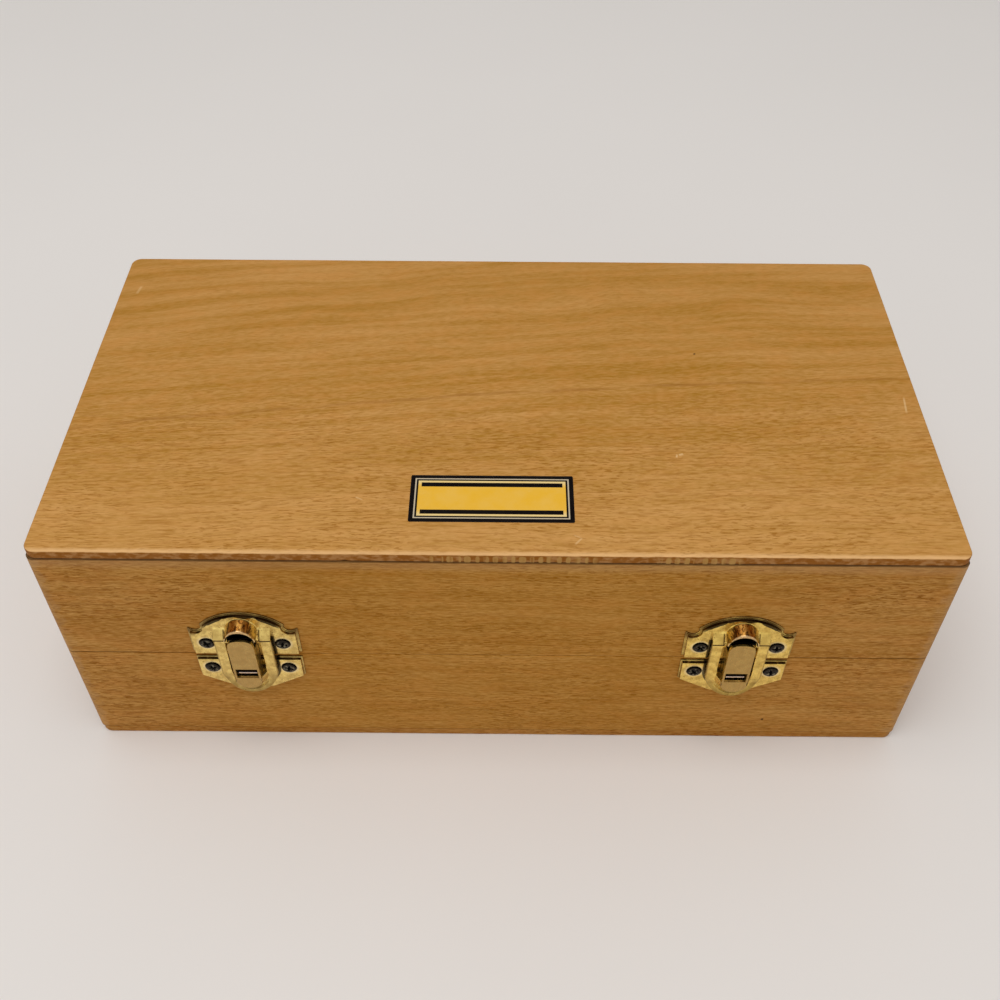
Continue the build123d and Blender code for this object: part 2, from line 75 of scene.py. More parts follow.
LOG = logging.getLogger("loupe_case")
MM = 0.001
QUARTER_TURN = math.pi / 2

Colour = tuple[float, float, float]
Triple = tuple[float, float, float]
Pair = tuple[float, float]


def math_method(operation: str, swapped: bool = False) -> Callable[["Value", "Number"], "Value"]:
    """A method of Value that puts the value and another number through a Math node.

    Args:
        operation: the Math node's operation.
        swapped: whether the other number comes first.

    Returns:
        The method.
    """

    def method(self: "Value", other: "Number") -> "Value":
        """The result of the operation on the value and the other number."""
        pair = (other, self) if swapped else (self, other)
        return self.graph.math(operation, *pair)

    return method


class Value:
    """A number that varies over a surface: an output socket with arithmetic."""

    def __init__(self, graph: "Nodes", socket: bpy.types.NodeSocket) -> None:
        """Wrap one output socket of a node tree."""
        self.graph = graph
        self.socket = socket

    __add__ = __radd__ = math_method("ADD")
    __sub__ = math_method("SUBTRACT")
    __rsub__ = math_method("SUBTRACT", swapped=True)
    __mul__ = __rmul__ = math_method("MULTIPLY")
    __truediv__ = math_method("DIVIDE")
    highest = math_method("MAXIMUM")
    lowest = math_method("MINIMUM")

    def __abs__(self) -> "Value":
        """The number without its sign."""
        return self.graph.math("ABSOLUTE", self)

    def sine(self) -> "Value":
        """The sine of an angle in radians."""
        return self.graph.math("SINE", self)

    def step(self, low: float, high: float) -> "Value":
        """A smooth step, which falls where low is the larger.

        Args:
            low: the number at which it is 0.
            high: the number at which it is 1.

        Returns:
            The step.
        """
        inputs = {"Value": self, "From Min": low, "From Max": high}
        made = self.graph.node("ShaderNodeMapRange", {"interpolation_type": "SMOOTHSTEP"}, inputs)
        return Value(self.graph, made.outputs["Result"])

    def between(self, low: float, high: float, soft: float) -> "Value":
        """1 between two numbers and 0 outside, over an edge of twice soft."""
        return self.step(low - soft, low + soft) * self.step(high + soft, high - soft)


Number = Value | float


class Place(NamedTuple):
    """A point's Object coordinates in millimetres, or a direction's parts."""

    x: Value
    y: Value
    z: Value


class Nodes:
    """A node tree with arithmetic."""

    def __init__(self, tree: bpy.types.NodeTree) -> None:
        """Wrap a node tree."""
        self.tree = tree

    def node(self, kind: str, settings: dict | None = None, inputs: dict | None = None) -> bpy.types.Node:
        """Add a node.

        Args:
            kind: the node's type.
            settings: its properties, which are set first.
            inputs: a value, a colour or a link for each socket, by name or number.

        Returns:
            The node.
        """
        made = self.tree.nodes.new(kind)
        for key, setting in (settings or {}).items():
            setattr(made, key, setting)
        for key, given in (inputs or {}).items():
            self.feed(made.inputs[key], given)
        return made

    def feed(self, socket: bpy.types.NodeSocket, given: object) -> None:
        """Set a socket, or link it.

        Args:
            socket: an input socket.
            given: a number or a colour, or the value or the socket to link.
        """
        if isinstance(given, Value):
            given = given.socket
        if isinstance(given, bpy.types.NodeSocket):
            self.tree.links.new(given, socket)
        elif isinstance(given, tuple) and len(given) == 3 and len(socket.default_value) == 4:
            socket.default_value = (*given, 1.0)
        else:
            socket.default_value = given

    def math(self, operation: str, first: Number, second: Number | None = None) -> Value:
        """A Math node on one or two numbers."""
        inputs = {0: first} if second is None else {0: first, 1: second}
        return Value(self, self.node("ShaderNodeMath", {"operation": operation}, inputs).outputs[0])

    def mix(self, share: Number, first: object, second: object) -> bpy.types.NodeSocket:
        """The first colour where share is 0 and the second where it is 1."""
        made = self.node("ShaderNodeMix", {"data_type": "RGBA"}, {0: share, 6: first, 7: second})
        return made.outputs[2]

    def vector(self, x: Number, y: Number = 0.0, z: Number = 0.0) -> bpy.types.NodeSocket:
        """Three numbers as one vector."""
        return self.node("ShaderNodeCombineXYZ", None, {0: x, 1: y, 2: z}).outputs[0]

    def parts(self, vector: bpy.types.NodeSocket) -> Place:
        """A vector's three numbers."""
        outputs = self.node("ShaderNodeSeparateXYZ", None, {0: vector}).outputs
        return Place(*(Value(self, socket) for socket in outputs))

    def noise(self, x: Number, y: Number = 0.0, z: Number = 0.0, detail: float = 2.0) -> Value:
        """Soft noise from 0 to 1, about one blob for each unit."""
        inputs = {"Vector": self.vector(x, y, z), "Scale": 1.0, "Detail": detail}
        return Value(self, self.node("ShaderNodeTexNoise", None, inputs).outputs[0])

    def speckle(self, place: Iterable[Value], size: float | Triple, detail: float = 2.0) -> Value:
        """Noise over a place, about one blob for each size."""
        sizes = size if isinstance(size, tuple) else (size,) * 3
        return self.noise(*(at / length for at, length in zip(place, sizes)), detail=detail)

    def cells(self, place: Place, size: float) -> Value:
        """The distance to the nearest of scattered points, about one for each size."""
        inputs = {"Vector": self.vector(*(at / size for at in place)), "Scale": 1.0}
        return Value(self, self.node("ShaderNodeTexVoronoi", None, inputs).outputs["Distance"])

    def reach(self, right: Value, up: Value) -> Value:
        """How far a point is from a centre, right and up of it."""
        return self.math("SQRT", right * right + up * up)

    def attribute(self, name: str) -> Value:
        """A number that the mesh keeps at each of its points."""
        return Value(self, self.node("ShaderNodeAttribute", {"attribute_name": name}).outputs["Fac"])

    def facing(self) -> Place:
        """The way that the surface faces, along the piece's own axes."""
        return self.parts(self.node("ShaderNodeTexCoord").outputs["Normal"])

    def place(self) -> Place:
        """The point's own coordinates, in millimetres."""
        inputs = {0: self.node("ShaderNodeTexCoord").outputs["Object"], "Scale": 1 / MM}
        return self.parts(self.node("ShaderNodeVectorMath", {"operation": "SCALE"}, inputs).outputs[0])


Layers = Iterator[tuple[Number, object]]


class Feature(Protocol):
    """Something painted over a finish at a place of its own."""

    def layers(self, graph: Nodes, place: Place) -> Layers:
        """Its layers, from the lowest.

        Args:
            graph: the finish's nodes.
            place: the point's coordinates.

        Returns:
            For each layer, how much it covers and its colour.
        """


class Graph(Nodes):
    """A material's nodes, around one Principled shader."""

    def __init__(self, name: str, fixed: dict[str, float]) -> None:
        """Start a material.

        Args:
            name: the material's name.
            fixed: the shader's constant inputs.
        """
        self.material = bpy.data.materials.new(name)
        self.material.use_nodes = True
        super().__init__(self.material.node_tree)
        self.tree.nodes.clear()
        self.shader = self.node("ShaderNodeBsdfPrincipled", None, fixed)
        self.node("ShaderNodeOutputMaterial", None, {"Surface": self.shader.outputs[0]})

    def painted(self, colour: object, features: Iterable[Feature], place: Place) -> object:
        """Lay features over a colour, in order.

        Args:
            colour: the colour under them.
            features: the features.
            place: the point's coordinates.

        Returns:
            The colour with their layers over it.
        """
        for feature in features:
            for share, tone in feature.layers(self, place):
                colour = self.mix(share, colour, tone)
        return colour

    def surface(self, colour: object, roughness: Number, height: Value, depth: float) -> bpy.types.Material:
        """Wire what varies over the surface.

        Args:
            colour: the base colour.
            roughness: the roughness.
            height: the relief, from 0 to 1.
            depth: the relief's depth.

        Returns:
            The finished material.
        """
        bump = self.node("ShaderNodeBump", None, {"Distance": depth * MM, "Height": height})
        wired = {"Base Color": colour, "Roughness": roughness, "Normal": bump.outputs[0]}
        for name, given in wired.items():
            self.feed(self.shader.inputs[name], given)
        return self.material


class Lay(Enum):
    """How a board lies: the axes along the grain, across it on the face, and through it."""

    FLAT = "xyz"
    FRONT = "xzy"
    SIDE = "yzx"

    def axes(self, place: Place) -> tuple[Value, Value, Value]:
        """A place's coordinates in this lay's order."""
        return tuple(getattr(place, letter) for letter in self.value)


@dataclass(frozen=True)
class Band:
    """A strip between two values of one coordinate, for stains, worn strips, and painted shade and
    highlights.

    Attributes:
        axis: the coordinate's letter.
        soft: half the width of its faded edge.
        ragged: how far its edge wanders.
        mirrored: whether it lies the same on both sides of zero.
        patchy: how much of it is worn through in patches.
    """

    axis: str
    low: float
    high: float
    soft: float
    colour: Colour
    depth: float
    ragged: float = 0.0
    mirrored: bool = False
    patchy: float = 0.0

    def layers(self, graph: Nodes, place: Place) -> Layers:
        """The strip, with its wandering edge and its worn patches."""
        at = getattr(place, self.axis)
        if self.mirrored:
            at = abs(at)
        if self.ragged:
            at = at + (graph.speckle(place, 3.0, 3.0) - 0.5) * self.ragged
        inside = at.between(self.low, self.high, self.soft)
        if self.patchy:
            wear = graph.speckle(place, (2.2, 2.2, 1.2), 3.0)
            inside = inside * (1.0 - wear.step(0.42, 0.66) * self.patchy)
        yield inside * self.depth, self.colour


@dataclass(frozen=True)
class SeamShade:
    """The dark line of the joint between lid and base, which fades towards the middle."""

    height: float = 41.0
    half_width: float = 0.42
    faint: float = 0.05
    strong: float = 0.50
    fade: Pair = (50.0, 100.0)
    colour: Colour = (0.10, 0.035, 0.007)

    def layers(self, graph: Nodes, place: Place) -> Layers:
        """The line, strong at the corners and faint in the middle."""
        near = abs(place.z - self.height).step(self.half_width, self.half_width * 0.3)
        ends = abs(place.x).step(*self.fade)
        yield near * (ends * (self.strong - self.faint) + self.faint), self.colour


@dataclass(frozen=True)
class Stroke:
    """A scratch, nick or dent on a board's face.

    Attributes:
        lay: the lay of the board, whose first two axes are those of the face.
        where: its centre on those axes.
        turn: its angle from the grain, in degrees.
    """

    lay: Lay
    where: Pair
    length: float
    width: float
    turn: float = 0.0
    colour: Colour = (0.78, 0.52, 0.25)
    depth: float = 0.6

    def layers(self, graph: Nodes, place: Place) -> Layers:
        """The stroke, ragged along its length."""
        first, second, _ = self.lay.axes(place)
        right, up = first - self.where[0], second - self.where[1]
        cosine, sine = math.cos(math.radians(self.turn)), math.sin(math.radians(self.turn))
        along = abs(right * cosine + up * sine).step(self.length / 2, self.length / 4)
        aside = abs(up * cosine - right * sine).step(self.width, self.width / 3)
        ragged = graph.speckle(place, 0.6) + 0.5
        yield (along * aside * ragged * self.depth).highest(0.0), self.colour


@dataclass(frozen=True)
class CutterMarks:
    """Pale round marks that a cutter left along the front edge of the top panel.

    Attributes:
        stretches: where they start and end along the edge.
        height: the height of their middle.
        tall: half their height.
        front: the y in front of which they show.
        pitch: their spacing.
    """

    stretches: tuple[Pair, ...] = ((-17.0, 25.0), (41.0, 62.0))
    height: float = 82.2
    tall: float = 1.55
    front: float = -62.2
    pitch: float = 2.3
    colour: Colour = (0.52, 0.30, 0.085)
    depth: float = 0.70

    def layers(self, graph: Nodes, place: Place) -> Layers:
        """The marks: crests of a sine along the edge, unevenly spaced, in each stretch."""
        uneven = graph.noise(place.x / 3.4, detail=1.0) * 5.5
        crests = (place.x * (2 * math.pi / self.pitch) + uneven).sine()
        strength = graph.noise(place.x / 1.9, 5.0, detail=1.0).step(0.32, 0.55)
        level = (place.z - self.height) / self.tall
        beads = (crests * 0.5 + 0.5) * (1.0 - level * level)
        mask = beads.step(0.16, 0.50) * strength * place.y.step(self.front, self.front - 0.2)
        for low, high in self.stretches:
            yield mask * place.x.between(low, high, 1.5) * self.depth, self.colour


@dataclass(frozen=True)
class GrowthLine:
    """The one dark line that crosses the top panel, a flat parabola."""

    start: float = -2.0
    slope: float = 0.098
    bend: float = -0.00028
    width: float = 1.0
    colour: Colour = (0.26, 0.095, 0.010)
    depth: float = 0.42

    def drift(self, place: Place) -> Value:
        """How far the line is from its start at each x."""
        return place.x * self.slope + place.x * place.x * self.bend

    def layers(self, graph: Nodes, place: Place) -> Layers:
        """The line, in stronger and weaker stretches."""
        waver = (graph.noise(place.x / 16.0, place.z / 9.0) - 0.5) * 3.0
        near = abs(place.y - self.drift(place) - self.start - waver).step(self.width, self.width * 0.15)
        strength = graph.noise(place.x / 15.0, 4.0, detail=3.0).step(0.30, 0.62)
        yield near * strength * self.depth, self.colour


@dataclass(frozen=True)
class Weave:
    """One layer of streaks in the wood, full where the noise is above high and none below low."""

    length: float
    width: float
    low: float
    high: float
    depth: float

    def share(self, graph: Nodes, path: tuple[Value, Value, Value]) -> Value:
        """0 between the streaks and 1 on them: noise drawn out along the grain."""
        return graph.speckle(path, (self.length, self.width, self.width), 3.0).step(self.low, self.high)

    def cover(self, graph: Nodes, path: tuple[Value, Value, Value]) -> Value:
        """How much the streaks cover."""
        return self.share(graph, path) * self.depth


@dataclass(frozen=True)
class Timber:
    """An oiled, open-grained hardwood board.

    Attributes:
        cut_from: a shift of the pattern, so that each board is its own piece of the plank.
        pale: the colour of the bright growth; deep, of the dark growth; pore, of the open
            pores; red, of the redder patches.
        sway: how far the growth lines wander; ripple, how far they waver over a short way.
        clouds: the broad changes of tone; bands, the growth bands; fibres, the fine grain;
            blushes, the patches of red; lines, the long dark lines; dashes, the short pores.
        features: stains, marks and painted highlights, in the order in which they cover each other.
    """

    name: str
    lay: Lay
    cut_from: Triple
    pale: Colour = (0.610, 0.322, 0.088)
    deep: Colour = (0.315, 0.118, 0.004)
    pore: Colour = (0.240, 0.076, 0.001)
    red: Colour = (0.540, 0.212, 0.040)
    sway: float = 5.0
    ripple: float = 0.4
    clouds: Weave = Weave(46.0, 15.0, 0.25, 0.75, 0.22)
    bands: Weave = Weave(70.0, 3.0, 0.30, 0.70, 0.26)
    fibres: Weave = Weave(2.4, 0.50, 0.32, 0.68, 0.52)
    blushes: Weave = Weave(9.0, 4.0, 0.42, 0.66, 0.28)
    lines: Weave = Weave(11.0, 0.8, 0.50, 0.66, 0.34)
    dashes: Weave = Weave(2.2, 0.40, 0.54, 0.64, 0.80)
    features: tuple[Feature, ...] = ()

    def growth(self, graph: Nodes, place: Place) -> tuple[Value, Value, Value]:
        """Along, across and through the board, swayed as its growth lines sway."""
        path = tuple(at + shift for at, shift in zip(self.lay.axes(place), self.cut_from))
        sway = (graph.speckle(path, (80.0, 30.0, 30.0), 1.0) - 0.5) * self.sway
        waver = (graph.speckle(path, (7.0, 9.0, 9.0), 1.0) - 0.5) * self.ripple
        return path[0], path[1] + sway + waver, path[2]

    def shares(self, graph: Nodes, place: Place) -> tuple[Number, Number, Number]:
        """How much of the long lines, the fine grain and the pores shows; pores come in flocks."""
        flocks = graph.speckle(place, (26.0, 26.0, 12.0)).step(0.30, 0.62)
        return 1.0, 1.0, flocks * 0.75 + 0.25

    def ground(self, graph: Nodes, colour: object, place: Place) -> object:
        """The wood's colour under its lines and pores, where a board's tone changes."""
        return colour

    def material(self) -> bpy.types.Material:
        """The wood: clouds and growth bands in two tones, then lines, pores, stains, marks and painted
        highlights.
        """
        graph = Graph(self.name, {"IOR": 1.45, "Specular IOR Level": 0.07})
        place = graph.place()
        path = self.growth(graph, place)
        lines_share, grain_share, dashes_share = self.shares(graph, place)
        fibres = self.fibres.share(graph, path)
        lines = self.lines.share(graph, path) * lines_share
        dashes = self.dashes.share(graph, path) * dashes_share
        grain = ((fibres - 0.5) * grain_share + 0.5) * self.fibres.depth
        tone = self.clouds.cover(graph, path) + self.bands.cover(graph, path) + grain
        colour = graph.mix(tone, self.deep, self.pale)
        colour = graph.mix(self.blushes.cover(graph, path), colour, self.red)
        colour = self.ground(graph, colour, place)
        colour = graph.mix(lines * self.lines.depth, colour, self.pore)
        colour = graph.mix(dashes * self.dashes.depth, colour, self.pore)
        colour = graph.painted(colour, self.features, place)
        relief = 1.0 - dashes * 0.7 - lines * 0.2 + fibres * 0.1
        return graph.surface(colour, fibres * 0.10 + dashes * 0.12 + 0.42, relief, 0.035)


@dataclass(frozen=True)
class FiguredTimber(Timber):
    """The top panel: dense long lines in front, and a calm figure behind one dark line.

    Attributes:
        line: the dark line, which the growth follows.
        swirl: how far the figure behind it wanders.
        paler_front: the colour of the paler wood in front, and paler_front_share how much it covers.
    """

    line: GrowthLine = GrowthLine()
    swirl: float = 13.0
    paler_front: Colour = (0.665, 0.352, 0.112)
    paler_front_share: float = 0.42

    def growth(self, graph: Nodes, place: Place) -> tuple[Value, Value, Value]:
        """The board's growth, which follows the dark line more and more towards the back."""
        along, across, through = super().growth(graph, place)
        drift = self.line.drift(place) * place.y.step(-70.0, 5.0)
        swirl = graph.noise(along / 60.0, place.y / 34.0, 0.3, detail=1.0) - 0.5
        return along, across - drift + swirl * place.y.step(-8.0, 50.0) * self.swirl, through

    def shares(self, graph: Nodes, place: Place) -> tuple[Number, Number, Number]:
        """Lines and pores fade behind the dark line, and the grain is strongest in front."""
        flocks = super().shares(graph, place)[2]
        lines = place.y.step(6.0, -30.0) * 0.80 + 0.20
        grain = place.y.step(60.0, -50.0) * 0.75 + 0.45
        return lines, grain, flocks * (place.y.step(10.0, -30.0) * 0.60 + 0.40)

    def ground(self, graph: Nodes, colour: object, place: Place) -> object:
        """The front of the panel is painted paler."""
        return graph.mix(place.y.step(-6.0, -58.0) * self.paler_front_share, colour, self.paler_front)


@dataclass(frozen=True)
class FacingShade:
    """Painted shade where the metal faces up, and in a lesser way where it faces aside.

    Attributes:
        low: the upward share of the direction at which it starts; high, at which it is full.
        depth: how strongly it covers faces that look up; aside, those that look left or right.
    """

    low: float = 0.62
    high: float = 0.86
    colour: Colour = (0.030, 0.014, 0.005)
    depth: float = 0.93
    aside: float = 0.35

    def layers(self, graph: Nodes, place: Place) -> Layers:
        """The painted shade, in patches."""
        facing = graph.facing()
        patches = graph.speckle(place, 2.2, 3.0).step(0.30, 0.46) * 0.55 + 0.45
        up = facing.z.step(self.low, self.high) * self.depth
        sideways = abs(facing.x).step(0.70, 0.95) * self.aside
        yield up.highest(sideways) * patches, self.colour


@dataclass(frozen=True)
class ScrewHighlightRings:
    """A painted highlight ring round each screw head, and a painted shadow line at the head itself."""

    centres: tuple[Pair, ...]
    radius: float = 2.05
    width: float = 1.1
    colour: Colour = (0.98, 0.84, 0.50)
    shadow: Colour = (0.02, 0.01, 0.005)
    depth: float = 0.50

    def layers(self, graph: Nodes, place: Place) -> Layers:
        """A highlight ring and a shadow line round each centre."""
        for x, z in self.centres:
            away = graph.reach(place.x - x, place.z - z)
            yield away.step(self.radius + self.width, self.radius + 0.25) * self.depth, self.colour
            yield away.step(self.radius + 0.22, self.radius + 0.08), self.shadow


@dataclass(frozen=True)
class HoodToneAndLight:
    """The clasp's hood: golden flanks, a coppery painted reflection on the crown, painted shade in its
    creases and outline, a painted highlight on the lip and black painted shade inside.

    Attributes:
        centre: the clasp's x.
        spring: the height at which the hood's arch starts.
        inner: the radius of its opening; outer, half its width.
        crown: half the width of its coppery top.
        foot: its lowest height.
        proud: the y in front of which metal is the hood's and not the plate's.
        canopy_end: how far from the centre the canopies beside it reach.
        lip: the y of its front edge.
    """

    centre: float
    spring: float = 52.9
    inner: float = 3.95
    outer: float = 4.7
    crown: float = 2.7
    foot: float = 50.9
    proud: float = -64.7
    canopy_end: float = 7.9
    lip: float = -67.7
    copper_reflection: Colour = (0.44, 0.180, 0.032)
    gold: Colour = (0.80, 0.52, 0.13)
    hood_shade: Colour = (0.045, 0.018, 0.005)
    bright: Colour = (0.95, 0.68, 0.36)
    tan: Colour = (0.42, 0.26, 0.070)
    shade_black: Colour = (0.005, 0.003, 0.002)

    def layers(self, graph: Nodes, place: Place) -> Layers:
        """The canopies with a painted shadow at their lower edge, then the hood from its flanks to its
        painted-black inside.
        """
        across = abs(place.x - self.centre)
        proud = place.y.step(self.proud + 0.25, self.proud - 0.05)
        above = place.z.step(self.foot - 0.5, self.foot)
        canopy = across.step(self.canopy_end, self.canopy_end - 0.3) * across.step(self.inner, self.outer)
        low_edge = place.z.between(self.foot - 0.15, self.foot + 0.5, 0.15)
        yield canopy * above * proud * 0.35, self.tan
        # Painted shadow along the canopies' lower edge.
        yield canopy * low_edge * proud * 0.9, self.hood_shade

        reach = graph.reach(across, (place.z - self.spring).highest(0.0))
        shell = across.step(self.outer + 0.12, self.outer) * reach.step(self.inner - 0.1, self.inner + 0.1)
        shell = shell * above * proud
        smears = graph.speckle(place, (0.9, 2.6, 0.9), 3.0)
        yield shell * 0.7, self.gold
        crown = shell * across.step(self.crown + 0.5, self.crown - 0.5)
        # Painted reflection: the crown is coppery.
        yield crown * (smears.step(0.36, 0.56) * 0.4 + 0.5), self.copper_reflection
        # Painted shade in the creases and round the hood's outline.
        wander = across + (smears - 0.5) * 3.0 - self.crown
        creases = abs(smears - 0.52).step(0.050, 0.010).highest(abs(wander).step(0.5, 0.1))
        yield shell * creases * 0.85, self.hood_shade
        yield abs(across - self.outer - 0.1).step(0.28, 0.08) * above * proud * 0.8, self.hood_shade
        # Painted highlight on the lip.
        yield shell * place.y.step(self.lip + 0.15, self.lip - 0.1) * 0.55, self.bright
        # Painted shade: black inside the hood.
        yield reach.step(self.inner + 0.1, self.inner - 0.1) * above, self.shade_black


@dataclass(frozen=True)
class ArchShade:
    """The dull rim of the strike plate's arch, and a broken black line of painted shade inside it, on the
    wall that faces up.

    Attributes:
        spring: the height of the arch's centre.
        rim: the radius at which the rim starts.
        low: the height above which both show.
        line: the radii between which the line lies.
        face: the y of the plate's face, from behind which the line is drawn.
    """

    centre: float
    spring: float = 45.0
    rim: float = 14.25
    low: float = 50.0
    line: Pair = (13.45, 14.35)
    face: float = -64.5
    bronze: Colour = (0.18, 0.098, 0.026)
    shade_black: Colour = (0.010, 0.004, 0.002)

    def layers(self, graph: Nodes, place: Place) -> Layers:
        """The rim in patches, and the line, which ends before the shoulders."""
        across = place.x - self.centre
        reach = graph.reach(across, place.z - self.spring)
        above = place.z.step(self.low, self.low + 2.0)
        patches = graph.noise(across / 5.0, 3.0)
        dull = patches.step(0.35, 0.60) * 0.45 + 0.42
        yield reach.step(self.rim - 0.1, self.rim + 0.1) * above * dull, self.bronze
        # The black line is painted shade on the wall inside the rim.
        low, high = self.line
        inside = reach + patches.step(0.40, 0.60) * 0.7 - 0.7
        line = inside.step(low - 0.1, low + 0.1) * reach.step(high + 0.1, high - 0.1)
        line = line * abs(across).step(12.0, 9.0) * above * place.y.step(self.face - 0.3, self.face)
        yield line * 0.92, self.shade_black


@dataclass(frozen=True)
class FlapShade:
    """Painted shadow where the hanging flap lies over the plates.

    Attributes:
        spring: the height at which the flap's round end starts.
        radius: half the flap's width.
        line: how far the painted shadow reaches outside the flap.
        gap: the strip between the flap's channel and its legs, black below seam.
        top: the height at which the flap's legs end.
        proud: the y in front of which metal isn't shaded.
    """

    centre: float
    spring: float = 36.5
    radius: float = 7.7
    line: float = 0.75
    gap: Pair = (4.35, 5.35)
    seam: float = 40.5
    top: float = 50.9
    proud: float = -65.4
    flap_shadow_dim: Colour = (0.16, 0.095, 0.030)
    shade_black: Colour = (0.006, 0.003, 0.002)

    def layers(self, graph: Nodes, place: Place) -> Layers:
        """Painted shadow: a dim trace under the flap, a black outline round it and black in the gap."""
        across = abs(place.x - self.centre)
        reach = graph.reach(across, (self.spring - place.z).highest(0.0))
        flat = place.y.step(self.proud, self.proud + 0.3) * place.z.step(self.top + 0.2, self.top)
        behind = reach.step(self.radius + 0.1, self.radius - 0.1) * flat
        yield behind * 0.35, self.flap_shadow_dim
        yield reach.between(self.radius - 0.1, self.radius + self.line, 0.1) * flat * 0.85, self.shade_black
        gap = across.between(*self.gap, 0.15) * place.z.step(self.seam + 0.3, self.seam - 0.3)
        yield gap * behind * 0.95, self.shade_black


@dataclass(frozen=True)
class FlapEdgeShade:
    """A thin brown line of painted shade at a flap's outline, and painted shade that darkens the plating of
    its round end.
    """

    centre: float
    spring: float = 36.5
    radius: float = 7.8
    edge_shade_brown: Colour = (0.20, 0.105, 0.028)

    def layers(self, graph: Nodes, place: Place) -> Layers:
        """The shade line and the darkening, whichever is the stronger."""
        reach = graph.reach(abs(place.x - self.centre), (self.spring - place.z).highest(0.0))
        line = reach.step(self.radius - 0.45, self.radius - 0.15)
        toe = reach.step(4.8, 7.6) * place.z.step(37.0, 33.0)
        yield (line * 0.55).highest(toe * 0.6), self.edge_shade_brown


@dataclass(frozen=True)
class Plating:
    """Bright plated sheet, dulled, spotted and scratched by handling.

    Attributes:
        bright: the colour of the sound plating; dull, of the dulled patches; stain, of spots.
        polish: the roughness of the sound plating.
        dullness: how much of the surface is dulled.
        ripple: the depth of the dents and waves.
        features: stains, worn places, and painted light and shade.
    """

    name: str
    bright: Colour = (0.98, 0.74, 0.240)
    dull: Colour = (0.54, 0.36, 0.105)
    stain: Colour = (0.10, 0.045, 0.010)
    polish: float = 0.22
    dullness: float = 0.7
    ripple: float = 0.08
    features: tuple[Feature, ...] = ()

    def material(self) -> bpy.types.Material:
        """The metal: two tones in clouds, dark specks, fine scratches and shallow waves."""
        graph = Graph(self.name, {"Metallic": 1.0})
        place = graph.place()
        clouds = graph.speckle(place, 1.9, 4.0).step(0.30, 0.66)
        specks = graph.speckle(place, 0.5).step(0.62, 0.74)
        scratches = graph.speckle(place, (0.22, 1.0, 4.0)).step(0.50, 0.72)
        waves = graph.speckle(place, 3.4, 1.0)
        colour = graph.mix(clouds * self.dullness, self.bright, self.dull)
        colour = graph.mix(specks * 0.55, colour, self.stain)
        colour = graph.mix(scratches * 0.35, colour, self.dull)
        colour = graph.painted(colour, self.features, place)
        roughness = clouds * 0.16 + specks * 0.25 + scratches * 0.08 + self.polish
        return graph.surface(colour, roughness, waves + scratches * 0.02, self.ripple)


@dataclass(frozen=True)
class BlackedSteel:
    """Dark screw heads: grey where they are rubbed, and black painted shade in the cross recess and at the
    rim.
    """

    name: str = "dark_screw"
    rubbed: Colour = (0.20, 0.180, 0.125)
    dark: Colour = (0.028, 0.022, 0.016)
    shade_black: Colour = (0.003, 0.003, 0.003)

    def material(self) -> bpy.types.Material:
        """The steel, after the cross and the distance from the middle that the mesh keeps."""
        graph = Graph(self.name, {"Metallic": 1.0})
        cross, share = graph.attribute("cross"), graph.attribute("share")
        patches = graph.speckle(graph.place(), 0.9, 3.0).step(0.47, 0.62)
        rubbed = patches * share.step(0.86, 0.60)
        colour = graph.mix(rubbed, self.dark, self.rubbed)
        # Painted shade: black in the cross recess and at the rim.
        colour = graph.mix(cross.highest(share.step(0.86, 0.97)), colour, self.shade_black)
        return graph.surface(colour, cross * 0.4 - rubbed * 0.08 + 0.30, patches, 0.03)


@dataclass(frozen=True)
class Foam:
    """Open-cell foam: near black, matt and finely pitted."""

    name: str = "charcoal_foam"
    dark: Colour = (0.016, 0.016, 0.018)
    pale: Colour = (0.050, 0.050, 0.054)

    def material(self) -> bpy.types.Material:
        """The foam: pits with paler walls between them, in faint clouds."""
        graph = Graph(self.name, {"Specular IOR Level": 0.25, "Sheen Weight": 0.25, "Sheen Roughness": 0.5})
        place = graph.place()
        pits = graph.cells(place, 0.7).step(0.1, 0.75)
        clouds = graph.speckle(place, 9.0, 3.0)
        colour = graph.mix(pits * 0.7 + clouds * 0.3, self.dark, self.pale)
        return graph.surface(colour, clouds * 0.1 + 0.88, pits, 0.25)


